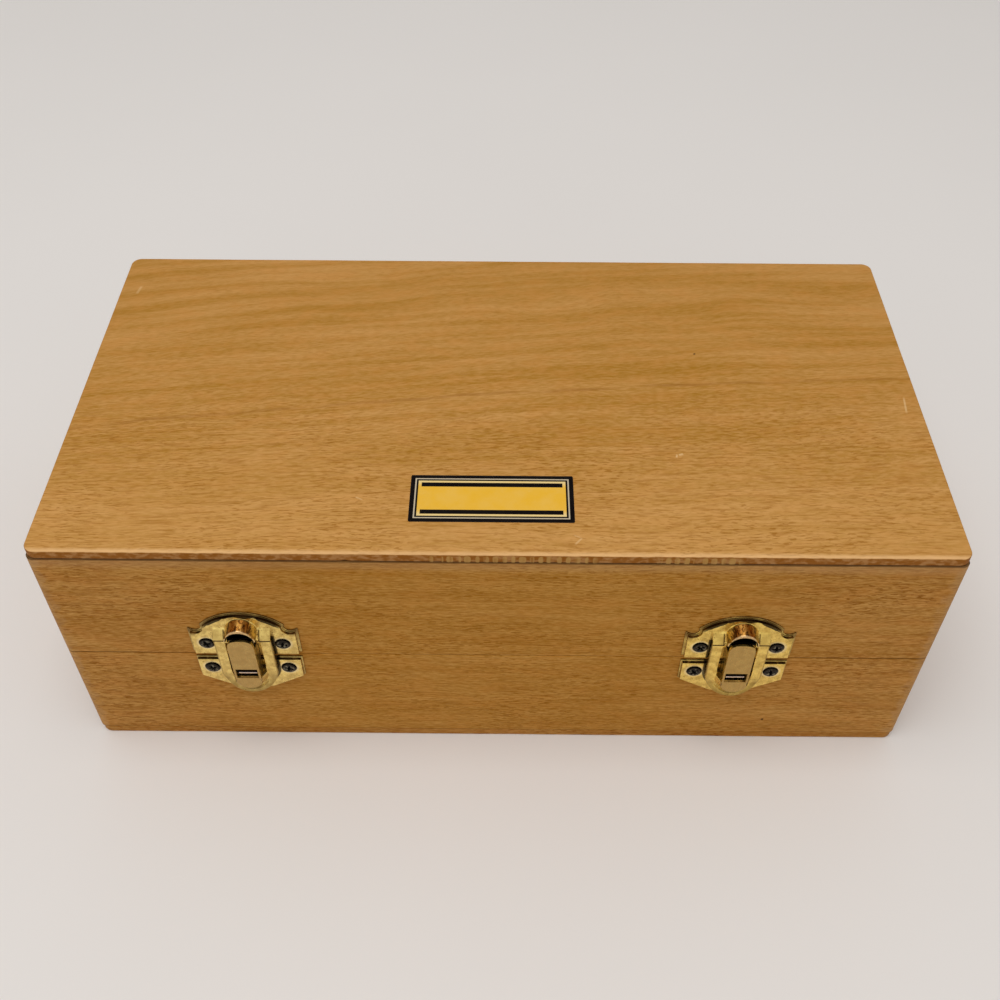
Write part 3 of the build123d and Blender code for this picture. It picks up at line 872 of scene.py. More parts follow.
@dataclass(frozen=True)
class PrintedFoil:
    """A gold foil label with a dark printed border, a thin frame line and two bars.

    Attributes:
        centre: the label's centre on the top.
        half: half its width and depth.
        border: the width of the dark border; line, of the pale line inside it;
            inner_border, of the dark line inside that.
        bar_from_edge: how far the bars are from the long edges.
        bar_inset: how far their ends are from the short edges.
        blur: half the width of every printed edge.
    """

    centre: Pair
    half: Pair
    name: str = "printed_foil"
    border: float = 1.2
    line: float = 0.36
    inner_border: float = 0.52
    bar_from_edge: float = 2.75
    bar_width: float = 1.5
    bar_inset: float = 2.9
    blur: float = 0.06
    ink: Colour = (0.004, 0.002, 0.002)
    gold: Colour = (0.83, 0.46, 0.030)
    pale_gold: Colour = (0.82, 0.62, 0.27)
    silver: Colour = (0.62, 0.52, 0.36)

    def material(self) -> bpy.types.Material:
        """The label: ink wherever the distance from an edge says so, gold elsewhere."""
        graph = Graph(self.name, {"Metallic": 0.0, "Specular IOR Level": 0.18})
        place = graph.place()
        across = self.half[0] - abs(place.x - self.centre[0])
        down = self.half[1] - abs(place.y - self.centre[1])
        edge = across.lowest(down)
        frame_line = edge.between(self.border, self.border + self.line, self.blur)
        field_start = self.border + self.line + self.inner_border
        in_field = edge.step(field_start - self.blur, field_start + self.blur)
        bar = down.between(self.bar_from_edge, self.bar_from_edge + self.bar_width, self.blur)
        bar = bar * across.step(self.bar_inset - self.blur, self.bar_inset + self.blur)
        cloud = graph.noise(place.x / 5.0, place.y / 5.0, detail=4.0).step(0.3, 0.7)
        worn = graph.noise(place.x / 0.5, place.y / 0.5, detail=3.0).step(0.62, 0.75)
        gold = graph.mix(down.step(2.2, 4.6) * 0.85 + cloud * 0.15, self.pale_gold, self.gold)
        gold = graph.mix(worn * 0.2, gold, self.pale_gold)
        colour = graph.mix(in_field * (1.0 - bar), self.ink, gold)
        colour = graph.mix(frame_line * 0.9, colour, self.silver)
        return graph.surface(colour, cloud * 0.12 + 0.30, cloud, 0.02)


def closed_rings(rings: np.ndarray) -> tuple[np.ndarray, list[list[int]]]:
    """Join a stack of closed rings, and close it with a point in the middle of each end.

    Args:
        rings: an array of rings by points by 3.

    Returns:
        The points and the faces of the closed surface.
    """
    count, around, _ = rings.shape
    ends = [rings[0].mean(0)[None], rings[-1].mean(0)[None]]
    here = np.arange(around)
    following = (here + 1) % around
    start = np.arange(count - 1)[:, None] * around
    corners = (start + here, start + following, start + around + following, start + around + here)
    top = (count - 1) * around
    low_fan = np.stack([following, here, np.full(around, count * around)], axis=-1)
    high_fan = np.stack([top + here, top + following, np.full(around, count * around + 1)], axis=-1)
    faces = np.stack(corners, axis=-1).reshape(-1, 4).tolist() + low_fan.tolist() + high_fan.tolist()
    return np.concatenate([rings.reshape(-1, 3), *ends]), faces


def close_seams(work: bmesh.types.BMesh) -> None:
    """Merge points that lie together, and turn the normals outwards.

    Args:
        work: the mesh.
    """
    bmesh.ops.remove_doubles(work, verts=work.verts, dist=1e-7)
    bmesh.ops.recalc_face_normals(work, faces=work.faces)


def merge_flats(work: bmesh.types.BMesh) -> None:
    """Make flat faces whole, then split those with inward corners, which a bevel would fold.

    Args:
        work: the mesh.
    """
    bmesh.ops.dissolve_degenerate(work, edges=work.edges, dist=0.02 * MM)
    bmesh.ops.dissolve_limit(work, angle_limit=math.radians(0.6), verts=work.verts, edges=work.edges)
    bmesh.ops.connect_verts_concave(work, faces=work.faces)


def make_piece(
    name: str,
    points: np.ndarray,
    faces: list,
    material: bpy.types.Material,
    mend: Callable[[bmesh.types.BMesh], None] = close_seams,
) -> bpy.types.Object:
    """A new smooth-shaded piece.

    Args:
        name: the piece's name.
        points: its points as rows, in millimetres.
        faces: each face's points, by number.
        material: its finish.
        mend: what mends its mesh.

    Returns:
        The piece.
    """
    mesh = bpy.data.meshes.new(name)
    mesh.from_pydata((points * MM).tolist(), [], faces)
    work = bmesh.new()
    work.from_mesh(mesh)
    mend(work)
    work.to_mesh(mesh)
    work.free()
    mesh.shade_smooth()
    mesh.materials.append(material)
    piece = bpy.data.objects.new(name, mesh)
    bpy.context.scene.collection.objects.link(piece)
    return piece


def mesh_points(mesh: bpy.types.Mesh) -> np.ndarray:
    """Read a mesh's points.

    Args:
        mesh: the mesh.

    Returns:
        The points as rows, in millimetres.
    """
    points = np.empty(len(mesh.vertices) * 3)
    mesh.vertices.foreach_get("co", points)
    return points.reshape(-1, 3) / MM


def rounded_copy(
    node: str,
    name: str,
    material: bpy.types.Material,
    width: float,
    reshape: Callable[[np.ndarray], None] | None = None,
) -> bpy.types.Object:
    """A copy of a CAD node's mesh with its real edges rounded.

    Points that agree to a tenth of a micron become one point, and triangles that share a
    plane become one face, so that only the real edges are left for the bevel.

    Args:
        node: the CAD node.
        name: the copy's name.
        material: its finish.
        width: the rounding's width.
        reshape: what moves the copy's points, given as rows in millimetres.

    Returns:
        The copy.
    """
    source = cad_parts[node].data
    grid = 1e-4
    corners = np.empty(len(source.loops), dtype=int)
    source.loops.foreach_get("vertex_index", corners)
    keys, inverse = np.unique(np.round(mesh_points(source) / grid), axis=0, return_inverse=True)
    triangles = inverse.reshape(-1)[corners].reshape(-1, 3)
    a, b, c = triangles.T
    triangles = triangles[(a != b) & (b != c) & (c != a)]
    piece = make_piece(name, keys * grid, triangles.tolist(), material, merge_flats)
    if reshape:
        points = mesh_points(piece.data)
        reshape(points)
        piece.data.vertices.foreach_set("co", (points * MM).ravel())
    bevel = piece.modifiers.new("rounding", "BEVEL")
    bevel.width = width * MM
    bevel.segments = 3
    bevel.limit_method = "ANGLE"
    bevel.angle_limit = math.radians(32.0)
    bevel.use_clamp_overlap = False
    bevel.miter_outer = "MITER_ARC"
    piece.modifiers.new("flat faces", "WEIGHTED_NORMAL").keep_sharp = True
    return piece


def settle(piece: bpy.types.Object, body: str, slot: str | None, *nodes: str) -> bpy.types.Object:
    """Ride a piece on its body, hide the CAD nodes it stands for, and report it.

    Args:
        piece: the piece.
        body: the body it rides on.
        slot: its slot, or None; not used.
        nodes: the CAD nodes it stands for.

    Returns:
        The piece.
    """
    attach(piece, body)
    if nodes:
        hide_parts(*nodes)
    LOG.info("%s rides on %s, %d faces", piece.name, body, len(piece.data.polygons))
    return piece


def repaint(node: str, material: bpy.types.Material) -> None:
    """Give a CAD node that is shown as it is its finish.

    Args:
        node: the CAD node.
        material: its finish.
    """
    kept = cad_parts[node]
    kept.data.materials.clear()
    kept.data.materials.append(material)
    LOG.info("%s keeps its CAD shape", node)


def cad_corners(node: str) -> tuple[np.ndarray, np.ndarray]:
    """The low and the high corner of a CAD node's box, in millimetres."""
    low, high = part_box(node)
    return np.array(low) / MM, np.array(high) / MM


def rounded_rectangle(half: Pair, corner: float, inset: np.ndarray, pitch: float) -> np.ndarray:
    """Rings of a rounded rectangle.

    A ring is the core rectangle, which has the corners' centres, plus the corner radius
    less the inset, along the outward direction of each point.

    Args:
        half: half the width and the depth.
        corner: the corner radius.
        inset: how far each ring is inside the outline.
        pitch: the spacing of the points on the straight sides.

    Returns:
        An array of rings by points by 2.
    """
    core = np.array(half) - corner
    turns = np.linspace(0.0, QUARTER_TURN, 9)
    places, ways = [], []
    for quarter, signs in enumerate([(1, 1), (-1, 1), (-1, -1), (1, -1)]):
        angle = turns + quarter * QUARTER_TURN
        arc = np.stack([np.cos(angle), np.sin(angle)], axis=-1)
        centre = core * signs
        side_length = 2 * core[quarter % 2]
        travel = np.linspace(0.0, side_length, max(2, int(side_length / pitch)) + 1)[1:-1, None]
        heading = np.array([-arc[-1][1], arc[-1][0]])
        places += [np.repeat(centre[None], len(arc), axis=0), centre + travel * heading]
        ways += [arc, np.repeat(arc[-1:], len(travel), axis=0)]
    return np.concatenate(places)[None] + np.concatenate(ways)[None] * (corner - inset[:, None, None])


@dataclass
class Panel:
    """A thin top or bottom panel with a hand-eased edge.

    Attributes:
        eased_up: whether the eased edge is the upper one.
        corner: the corner radius.
        ease: the size of the eased edge; arris, of the other edge's rounding.
        relief: how much lower its eased face is than the CAD panel's.
        nick: the x of a nick in the front edge, or None.
        pitch: the spacing of its points.
    """

    node: str
    body: str
    timber: Timber
    eased_up: bool
    corner: float = 3.0
    ease: float = 0.42
    arris: float = 0.18
    relief: float = 0.0
    nick: float | None = None
    pitch: float = 1.0

    def build(self) -> None:
        """The panel: an edge profile carried round the rounded outline.

        The profile is a quarter circle at the eased edge and a small one at the other.
        Waves of a few hundredths of a millimetre and the nick only cut inwards.
        """
        low, high = cad_corners(self.node)
        half = tuple((high - low)[:2] / 2)
        thickness = high[2] - low[2]
        quarter = np.linspace(0.0, QUARTER_TURN, 7)
        arris_inset, arris_rise = self.arris * (1 - np.sin(quarter)), self.arris * (1 - np.cos(quarter))
        ease_inset, ease_fall = self.ease * (1 - np.cos(quarter)), self.ease * (1 - np.sin(quarter))
        inset = np.concatenate([[self.corner, 0.9], arris_inset, ease_inset, [1.5, 2.2, self.corner]])
        rise = np.concatenate([[0.0, 0.0], arris_rise, thickness - ease_fall, [thickness] * 3])
        outline = rounded_rectangle(half, self.corner, inset, self.pitch)
        x, y = outline[..., 0], outline[..., 1]
        wave = 0.03 + 0.018 * np.sin(x / 7.3 + 0.4) + 0.012 * np.sin(x / 2.9 + y / 5.1)
        near_edge = (inset < 1.2)[:, None]
        shrink = wave * near_edge
        if self.nick is not None:
            bite = np.exp(-(((x - self.nick) / 0.8) ** 2) - ((rise[:, None] - 0.9) / 1.0) ** 2)
            shrink = shrink + 0.55 * bite * (y < 0) * near_edge
        height = (rise if self.eased_up else thickness - rise) * (1 - self.relief / thickness)
        plane = np.broadcast_to((low[2] + height)[:, None, None], (*x.shape, 1))
        rings = np.concatenate([outline * (1 - shrink[..., None] / np.array(half)), plane], axis=-1)
        piece = make_piece(f"sanded_{self.node}", *closed_rings(rings), self.timber.material())
        settle(piece, self.body, "panel", self.node)


@dataclass
class Frame:
    """The four boards of the base or of the lid, lapped at the corners."""

    body: str
    front: Timber
    back: Timber
    side: Timber
    rounding: float = 0.17

    def build(self) -> None:
        """Copies of the CAD boards with their edges worn round."""
        boards = {"front": self.front, "back": self.back, "left": self.side, "right": self.side}
        for place, timber in boards.items():
            node = f"{self.body}_{place}"
            piece = rounded_copy(node, f"sanded_{node}", timber.material(), self.rounding)
            settle(piece, self.body, "board", node)


@dataclass
class BaseInsert:
    """The foam block in the base, with the loupe's pocket and four thumb notches.

    Attributes:
        pocket_half: half the pocket's length and width.
        well_radius: the radius of the round well in its middle.
        floor: the height of its floor.
        notch_depth: how far the thumb notches reach below the top.
        notch_x: their distance from the middle.
        lip: the rounding of the pocket's lip.
        corner: the radius of the block's corners.
        shoulder: the share of the way outwards at which its outer edge starts to round.
        pitch: the spacing of its points.
    """

    foam: bpy.types.Material
    pocket_half: Pair = (98.0, 30.0)
    pocket_corner: float = 14.0
    well_radius: float = 42.0
    floor: float = 9.0
    notch_radius: float = 13.0
    notch_depth: float = 12.0
    notch_x: float = 71.0
    lip: float = 1.4
    corner: float = 5.0
    shoulder: float = 0.985
    pitch: float = 0.7

    def edge(self, x: np.ndarray) -> np.ndarray:
        """The pocket's upper boundary: the rounded rectangle or the well, if further out.

        Args:
            x: places along the case.

        Returns:
            The boundary's y at each place.
        """
        half_x, half_y = self.pocket_half
        into_corner = np.clip(np.abs(x) - (half_x - self.pocket_corner), 0.0, self.pocket_corner)
        drop = self.pocket_corner - np.sqrt(self.pocket_corner**2 - into_corner**2)
        well = np.sqrt(np.clip(self.well_radius**2 - x**2, 0.0, None))
        return np.maximum(half_y - drop, well)

    def outlines(self, outer: Pair) -> tuple[np.ndarray, np.ndarray]:
        """The pocket's outline and the block's, point for point, anticlockwise from the lower left.

        Args:
            outer: half the block's length and width.

        Returns:
            The two outlines, as rows of x and y.
        """
        half_x, half_y = self.pocket_half
        along = np.linspace(-1.0, 1.0, int(2 * outer[0] / self.pitch))
        x = (np.sin(along * QUARTER_TURN) * 0.25 + along * 0.75) * half_x
        up = np.linspace(-1.0, 1.0, int(2 * outer[1] / self.pitch))[1:-1]
        low = np.stack([x, -self.edge(x)], axis=-1)
        right = np.stack([np.full_like(up, half_x), up * (half_y - self.pocket_corner)], axis=-1)
        low_out = np.stack([along * outer[0], np.full_like(along, -outer[1])], axis=-1)
        right_out = np.stack([np.full_like(up, outer[0]), up * outer[1]], axis=-1)
        block = np.concatenate([low_out, right_out, -low_out, -right_out])
        core = np.array(outer) - self.corner
        beyond = np.abs(block) - core
        reach = np.maximum(np.hypot(*beyond.T), 1e-9)[:, None]
        rounded = np.sign(block) * (core + beyond / reach * self.corner)
        in_corner = (beyond > 0).all(axis=1)[:, None]
        return np.concatenate([low, right, -low, -right]), np.where(in_corner, rounded, block)

    def top(self, points: np.ndarray, level: float) -> np.ndarray:
        """The top's height: the level, less a soft-edged disc at each thumb notch.

        Args:
            points: rows of x and y.
            level: the height away from the notches.

        Returns:
            The height at each point.
        """
        x, y = np.abs(points.T)
        away = np.hypot(x - self.notch_x, y - self.pocket_half[1])
        inside = np.clip(self.notch_radius + 0.5 - away, 0.0, 1.0)
        return level - self.notch_depth * inside * inside * (3 - 2 * inside)

    def build(self) -> None:
        """The block: rings from the pocket's floor up its wall, across the top and down outside.

        Each ring lies a share of the way from the pocket's outline to the block's. The lip
        and the outer edge are quarter rounds, and the top waves by a tenth of a millimetre.
        """
        low, high = cad_corners("base_insert")
        inner, outer = self.outlines((high[0], high[1]))
        across = outer - inner
        lip_share = self.lip / np.linalg.norm(across, axis=1, keepdims=True)
        quarter = np.linspace(0.0, QUARTER_TURN, 6)
        rows = [(inner * share, self.floor) for share in (0.0, 0.25, 0.6, 0.88, 0.98)]
        wall = self.top(inner, high[2]) - self.lip - self.floor
        rows += [(inner, self.floor + wall * share) for share in np.linspace(0.03, 1.0, 7)]
        for turn in quarter[1:]:
            point = inner + across * lip_share * (1 - np.cos(turn))
            rows.append((point, self.top(point, high[2]) - self.lip * (1 - np.sin(turn))))
        for share in np.linspace(0.0, 1.0, int(26 / self.pitch))[1:-1]:
            point = inner + across * (lip_share + (self.shoulder - lip_share) * share)
            x, y = point.T
            ripple = 0.06 * (np.sin(x / 9.1) + np.sin(y / 7.3 + x / 23.0) - 2)
            rows.append((point, self.top(point, high[2]) + ripple))
        for turn in quarter:
            point = inner + across * (self.shoulder + (1 - self.shoulder) * np.sin(turn))
            rows.append((point, high[2] - 0.2 - 1.2 * (1 - np.cos(turn))))
        rows.append((outer, low[2]))
        count = len(inner)
        rings = [np.column_stack([point, np.broadcast_to(height, count)]) for point, height in rows]
        piece = make_piece("foam_insert", *closed_rings(np.stack(rings)), self.foam)
        settle(piece, "base", "lining", "base_insert")


@dataclass
class LidPad:
    """The egg-crate foam pad under the top panel.

    Attributes:
        pitch: the spacing of the peaks.
        swell: how far the peaks stand out from the hollows.
        edge: the width of the drawn-in rim.
        rim: the pad's thickness at its very edge.
        step: the spacing of its points.
    """

    foam: bpy.types.Material
    pitch: float = 17.0
    swell: float = 4.2
    edge: float = 7.0
    rim: float = 2.6
    step: float = 1.25

    def build(self) -> None:
        """The pad: a flat back and a waved face over the same grid, stitched at the rim.

        The face stands a product of two cosines below the back, and falls to the rim as a
        quarter circle of the distance from the nearest side.
        """
        low, high = cad_corners("lid_pad")
        columns, lines = (int(length / self.step) for length in (high - low)[:2])
        x, y = np.meshgrid(np.linspace(low[0], high[0], columns), np.linspace(low[1], high[1], lines))
        crests = 0.5 + 0.5 * np.cos(2 * math.pi * x / self.pitch) * np.cos(2 * math.pi * y / self.pitch)
        body = high[2] - low[2] - self.swell * (1 - crests)
        side = np.minimum(high[0] - np.abs(x), high[1] - np.abs(y))
        inward = np.clip(side / self.edge, 0.0, 1.0)
        depth = self.rim + (body - self.rim) * np.sqrt(1 - (1 - inward) ** 2)
        face = np.stack([x, y, high[2] - depth], axis=-1).reshape(-1, 3)
        back = np.stack([x, y, np.full_like(x, high[2])], axis=-1).reshape(-1, 3)
        index = np.arange(lines * columns).reshape(lines, columns)
        corners = (index[:-1, :-1], index[:-1, 1:], index[1:, 1:], index[1:, :-1])
        quads = np.stack(corners, axis=-1).reshape(-1, 4)
        loop = np.concatenate([index[0], index[1:, -1], index[-1, -2::-1], index[-2:0:-1, 0]])
        following = np.roll(loop, -1)
        skirt = np.stack([loop, following, following + len(face), loop + len(face)], axis=-1)
        faces = quads.tolist() + (quads[:, ::-1] + len(face)).tolist() + skirt.tolist()
        piece = make_piece("foam_lid_pad", np.concatenate([face, back]), faces, self.foam)
        settle(piece, "lid", "lining", "lid_pad")


@dataclass
class PhillipsScrews:
    """A group of wood screws with low domed heads and cross recesses.

    Attributes:
        centres: each head's centre, as (x, z).
        seat: the y of the plate's outer face.
        outward: the sign of y out of the case.
        length: how far the screws reach behind the heads' seat.
        arm: the length of the recess's arms, as a share of the head's radius.
        arm_width: their width, as a share of it.
        recess: the recess's depth.
        turns: the angle of each recess, in degrees.
    """

    node: str
    body: str
    steel: bpy.types.Material
    centres: tuple[Pair, ...]
    seat: float
    outward: int
    head_radius: float
    shank_radius: float
    length: float
    head_height: float = 0.60
    arm: float = 0.66
    arm_width: float = 0.26
    recess: float = 0.55
    turns: tuple[float, ...] = (20.0, -12.0, 41.0, 5.0)

    def profile(self) -> np.ndarray:
        """Radius and height from the point, up the shank, out under the head and over its dome."""
        shank = [(0.05, -self.length), (self.shank_radius, 1.2 - self.length), (self.shank_radius, -0.02)]
        rim = [(self.head_radius - 0.05, -0.02), (self.head_radius, 0.06), (self.head_radius - 0.03, 0.16)]
        share = np.linspace(0.94, 0.0, 16)[:-1]
        rise = 0.16 + (self.head_height - 0.16) * np.sqrt(1 - share**2.2)
        return np.concatenate([shank, rim, np.stack([self.head_radius * share, rise], axis=-1)])

    def head(self, centre: Pair, turn: float) -> tuple[np.ndarray, np.ndarray, np.ndarray]:
        """One screw's rings, with the recess pressed into its dome.

        The recess is as deep as a soft cross: the lesser distance from its two centre lines
        is under the arms' half width, and the greater is under their length.

        Args:
            centre: the head's centre, as (x, z).
            turn: the cross's angle, in degrees.

        Returns:
            The points, how far each is in the cross, and its share of the head's radius.
        """
        around = np.linspace(0.0, 2 * math.pi, 56, endpoint=False)
        radius, height = (column[:, None] for column in self.profile().T)
        right, up = radius * np.cos(around), radius * np.sin(around)
        cosine, sine = math.cos(math.radians(turn)), math.sin(math.radians(turn))
        lines = np.abs([right * cosine + up * sine, up * cosine - right * sine]) / self.head_radius
        furthest = lines.max(0)
        narrow = np.clip((self.arm_width / 2 + 0.06 - lines.min(0)) / 0.08, 0.0, 1.0)
        short = np.clip((self.arm - furthest) / 0.10, 0.0, 1.0)
        cross = narrow * short * (height > 0.16)
        out = height - self.recess * cross * (1.0 - 0.55 * furthest / self.arm)
        points = np.stack([centre[0] + right, self.seat + self.outward * out, centre[1] + up], axis=-1)
        return points, cross, np.broadcast_to(radius / self.head_radius, cross.shape)

    def build(self) -> None:
        """The group as one piece, which keeps its crosses and radii for the finish."""
        points, faces, crosses, shares = [], [], [], []
        for number, centre in enumerate(self.centres):
            rings, cross, share = self.head(centre, self.turns[number % len(self.turns)])
            screw_points, screw_faces = closed_rings(rings)
            start = sum(len(made) for made in points)
            points.append(screw_points)
            faces += [[corner + start for corner in face] for face in screw_faces]
            crosses += [cross.ravel(), [0.0, 1.0]]
            shares += [share.ravel(), [0.0, 0.0]]
        piece = make_piece(f"phillips_{self.node}", np.concatenate(points), faces, self.steel)
        for kept, values in (("cross", crosses), ("share", shares)):
            layer = piece.data.attributes.new(kept, "FLOAT", "POINT")
            layer.data.foreach_set("value", np.concatenate(values).astype(np.float32))
        settle(piece, self.body, "screw", self.node)


@dataclass
class Clasp:
    """One snap clasp: two plates, a catch spring, a flap and its pin.

    Attributes:
        side: "left" or "right".
        plate: the plates' finish; lever, the flap's; strip, the catch spring's.
        rounding: the width of the plates' stamped edges.
        tip_spring: the height at which the arch of the flap's tip starts.
        tip_radius: the arch's radius.
        tip_power: the power of the squarer arch that it becomes.
        tip_squash: how much lower that is.
        plate_back: the y of the plates' backs.
        hood_spring: the height at which the hood's arch starts.
        hood_draw: how much narrower the hood's outside is than the CAD part's.
        horn_foot: the height at which the horns start, and horn_share how much is left.
    """

    side: str
    plate: bpy.types.Material
    lever: bpy.types.Material
    strip: bpy.types.Material
    pin: bpy.types.Material
    centre: float
    rounding: float = 0.15
    flap_rounding: float = 0.07
    strip_rounding: float = 0.12
    tip_spring: float = 50.7
    tip_radius: float = 3.7
    tip_power: float = 3.0
    tip_squash: float = 0.86
    plate_back: float = -63.0
    hood_spring: float = 52.9
    hood_draw: float = 0.87
    horn_foot: float = 52.4
    horn_share: float = 0.50

    def square_tip(self, points: np.ndarray) -> None:
        """Make the arch of the flap's tip flatter and its shoulders fuller.

        Each point is moved along the ray from the middle of the arch's foot, by as much as
        the curve x^n + z^n = 1 lies outside the circle there, and its height is squashed.

        Args:
            points: the flap's points as rows, which are changed.
        """
        across, rise = points[:, 0] - self.centre, points[:, 2] - self.tip_spring
        reach = np.hypot(across, rise)
        inside = (rise > 0) & (reach < self.tip_radius) & (reach > 1.0)
        share = np.stack([np.abs(across), rise])[:, inside] / reach[inside]
        growth = (share**self.tip_power).sum(0) ** (-1 / self.tip_power)
        points[inside, 0] = self.centre + across[inside] * growth
        points[inside, 2] = self.tip_spring + rise[inside] * growth * self.tip_squash

    def shape_strike(self, points: np.ndarray) -> None:
        """Draw the hood's outside in, and lower the horns beside the arch.

        Only points further from the middle of the hood's opening than its wall is thick
        are moved, and only across, so that the flat faces beside the hood stay flat.

        Args:
            points: the strike plate's points as rows, which are changed.
        """
        across, height = points[:, 0] - self.centre, points[:, 2].copy()
        reach = np.hypot(across, np.clip(height - self.hood_spring, 0.0, None))
        proud = self.plate_back - points[:, 1] > 0.6
        outside = (reach > 4.4) & (np.abs(across) < 5.6) & proud & (height > 50.7)
        points[outside, 0] = self.centre + across[outside] * self.hood_draw
        horn = (np.abs(across) > 14.0) & (height > self.horn_foot)
        points[horn, 2] = self.horn_foot + (height[horn] - self.horn_foot) * self.horn_share

    def build(self) -> None:
        """Copies of the CAD pieces with stamped, rounded edges, and the pin as it is."""
        flap = f"flap_{self.side}"
        for kind, body, metal, width, reshape in (
            ("strike_plate", "lid", self.plate, self.rounding, self.shape_strike),
            ("keeper_plate", "base", self.plate, self.rounding, None),
            ("flap", flap, self.lever, self.flap_rounding, self.square_tip),
            ("catch_spring", "base", self.strip, self.strip_rounding, None),
        ):
            node = f"{kind}_{self.side}"
            piece = rounded_copy(node, f"stamped_{node}", metal, width, reshape)
            settle(piece, body, "clasp_brass", node)
        repaint(f"flap_pin_{self.side}", self.pin)


@dataclass
class Hinge:
    """One butt hinge with stop lugs: two leaves and a pin."""

    side: str
    metal: bpy.types.Material
    rounding: float = 0.15

    def build(self) -> None:
        """Copies of the CAD leaves with rounded edges, and the pin as it is."""
        for body in ("base", "lid"):
            node = f"hinge_{body}_leaf_{self.side}"
            piece = rounded_copy(node, f"stamped_{node}", self.metal, self.rounding)
            settle(piece, body, "hinge_brass", node)
        repaint(f"hinge_pin_{self.side}", self.metal)


@dataclass
class Label:
    """The foil label on the top: a thin plate with rounded edges and nothing written on it."""

    centre: Pair = (-1.6, -43.4)
    half: Pair = (21.6, 8.4)
    thickness: float = 0.10
    corner: float = 0.5

    def build(self) -> None:
        """The plate: a small edge profile carried round a rounded rectangle."""
        inset = np.array([self.corner, 0.0, 0.0, 0.02, 0.07, self.corner])
        rise = np.array([-1.0, -1.0, 0.4, 0.8, 1.0, 1.0]) * self.thickness
        level = cad_corners("lid_top")[1][2] - self.thickness + rise
        outline = rounded_rectangle(self.half, self.corner, inset, 4.0)
        plane = np.broadcast_to(level[:, None, None], (*outline.shape[:2], 1))
        rings = np.concatenate([outline + np.array(self.centre), plane], axis=-1)
        foil = PrintedFoil(self.centre, self.half).material()
        settle(make_piece("foil_label", *closed_rings(rings), foil), "lid", None)


@dataclass
class Studio:
    """The pale table, the soft light and the camera.

    Attributes:
        camera_place: the camera's place.
        camera_turn: its rotation, in degrees.
        lens: its focal length.
        lamp_place: the overhead lamp's place; lamp_turn, its rotation; lamp_size, its side.
        key_power: its power, in watts.
        fill: the strength of the light from all round.
        table_reach: how far the table reaches from the middle.
        ceiling: what metal mirrors overhead; walls, what it mirrors all round.
        backdrop: the background that the camera sees.
        daylight: the colour of the light from all round.
    """

    camera_place: Triple = (1.67, -250.59, 304.24)
    camera_turn: Triple = (43.174, -0.169, 0.486)
    lens: float = 41.43
    lamp_place: Triple = (-150.0, -300.0, 1300.0)
    lamp_turn: Triple = (13.0, -6.0, 0.0)
    lamp_size: float = 900.0
    key_power: float = 8.0
    fill: float = 0.52
    table_reach: float = 4000.0
    table: Colour = (0.84, 0.805, 0.775)
    ceiling: Colour = (0.07, 0.055, 0.045)
    walls: Colour = (0.86, 0.85, 0.84)
    backdrop: Colour = (0.52, 0.51, 0.495)
    daylight: Colour = (1.0, 0.985, 0.965)

    def add(self, name: str, data: bpy.types.ID, place: Triple, turn: Triple) -> bpy.types.Object:
        """Put a camera or a lamp into the scene.

        Args:
            name: its name.
            data: the camera or the lamp.
            place: its place, in millimetres.
            turn: its rotation, in degrees.

        Returns:
            Its object.
        """
        made = bpy.data.objects.new(name, data)
        made.location = [value * MM for value in place]
        made.rotation_euler = Euler([math.radians(value) for value in turn])
        bpy.context.scene.collection.objects.link(made)
        return made

    def place_camera(self) -> None:
        """The camera at the photograph's viewing angle."""
        data = bpy.data.cameras.new("camera")
        data.lens = self.lens
        data.sensor_width = 36.0
        data.clip_start = 0.01
        bpy.context.scene.camera = self.add("camera", data, self.camera_place, self.camera_turn)

    def hang_lamp(self) -> None:
        """The square overhead lamp."""
        data = bpy.data.lights.new("overhead", "AREA")
        data.shape = "SQUARE"
        data.size = self.lamp_size * MM
        data.energy = self.key_power
        self.add("overhead", data, self.lamp_place, self.lamp_turn)

    def lay_table(self) -> None:
        """A wide pale floor under the case."""
        graph = Graph("table", {"Specular IOR Level": 0.2})
        place = graph.place()
        cloud = graph.noise(place.x / 160.0, place.y / 160.0, detail=3.0)
        shade = tuple(value * 0.96 for value in self.table)
        finish = graph.surface(graph.mix(cloud, self.table, shade), cloud * 0.05 + 0.6, cloud, 0.01)
        corners = np.array([(-1, -1, 0), (1, -1, 0), (1, 1, 0), (-1, 1, 0)]) * self.table_reach
        make_piece("table", corners, [[0, 1, 2, 3]], finish)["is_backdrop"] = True

    def light_room(self) -> None:
        """Soft light from all round, a pale background, and a dim ceiling in reflections."""
        world = bpy.data.worlds.new("room")
        bpy.context.scene.world = world
        world.use_nodes = True
        world.node_tree.nodes.clear()
        room = Nodes(world.node_tree)
        way = room.parts(room.node("ShaderNodeTexCoord").outputs["Generated"])
        overhead = way.z.step(0.25, 0.60) * way.y.step(-0.85, -0.35)
        path = room.node("ShaderNodeLightPath")
        kinds = ("Camera", "Glossy", "Transmission")
        camera, glossy, through = (Value(room, path.outputs[f"Is {kind} Ray"]) for kind in kinds)
        shown = room.mix(camera, room.mix(overhead, self.walls, self.ceiling), self.backdrop)
        seen = room.node("ShaderNodeBackground", None, {"Color": shown})
        light = room.node("ShaderNodeBackground", None, {"Color": self.daylight, "Strength": self.fill})
        either = {0: camera.highest(glossy).highest(through), 1: light.outputs[0], 2: seen.outputs[0]}
        mixed = room.node("ShaderNodeMixShader", None, either)
        room.node("ShaderNodeOutputWorld", None, {"Surface": mixed.outputs[0]})

    def build(self) -> None:
        """The whole studio."""
        bpy.context.scene.view_settings.view_transform = "Standard"
        self.place_camera()
        self.hang_lamp()
        self.lay_table()
        self.light_room()


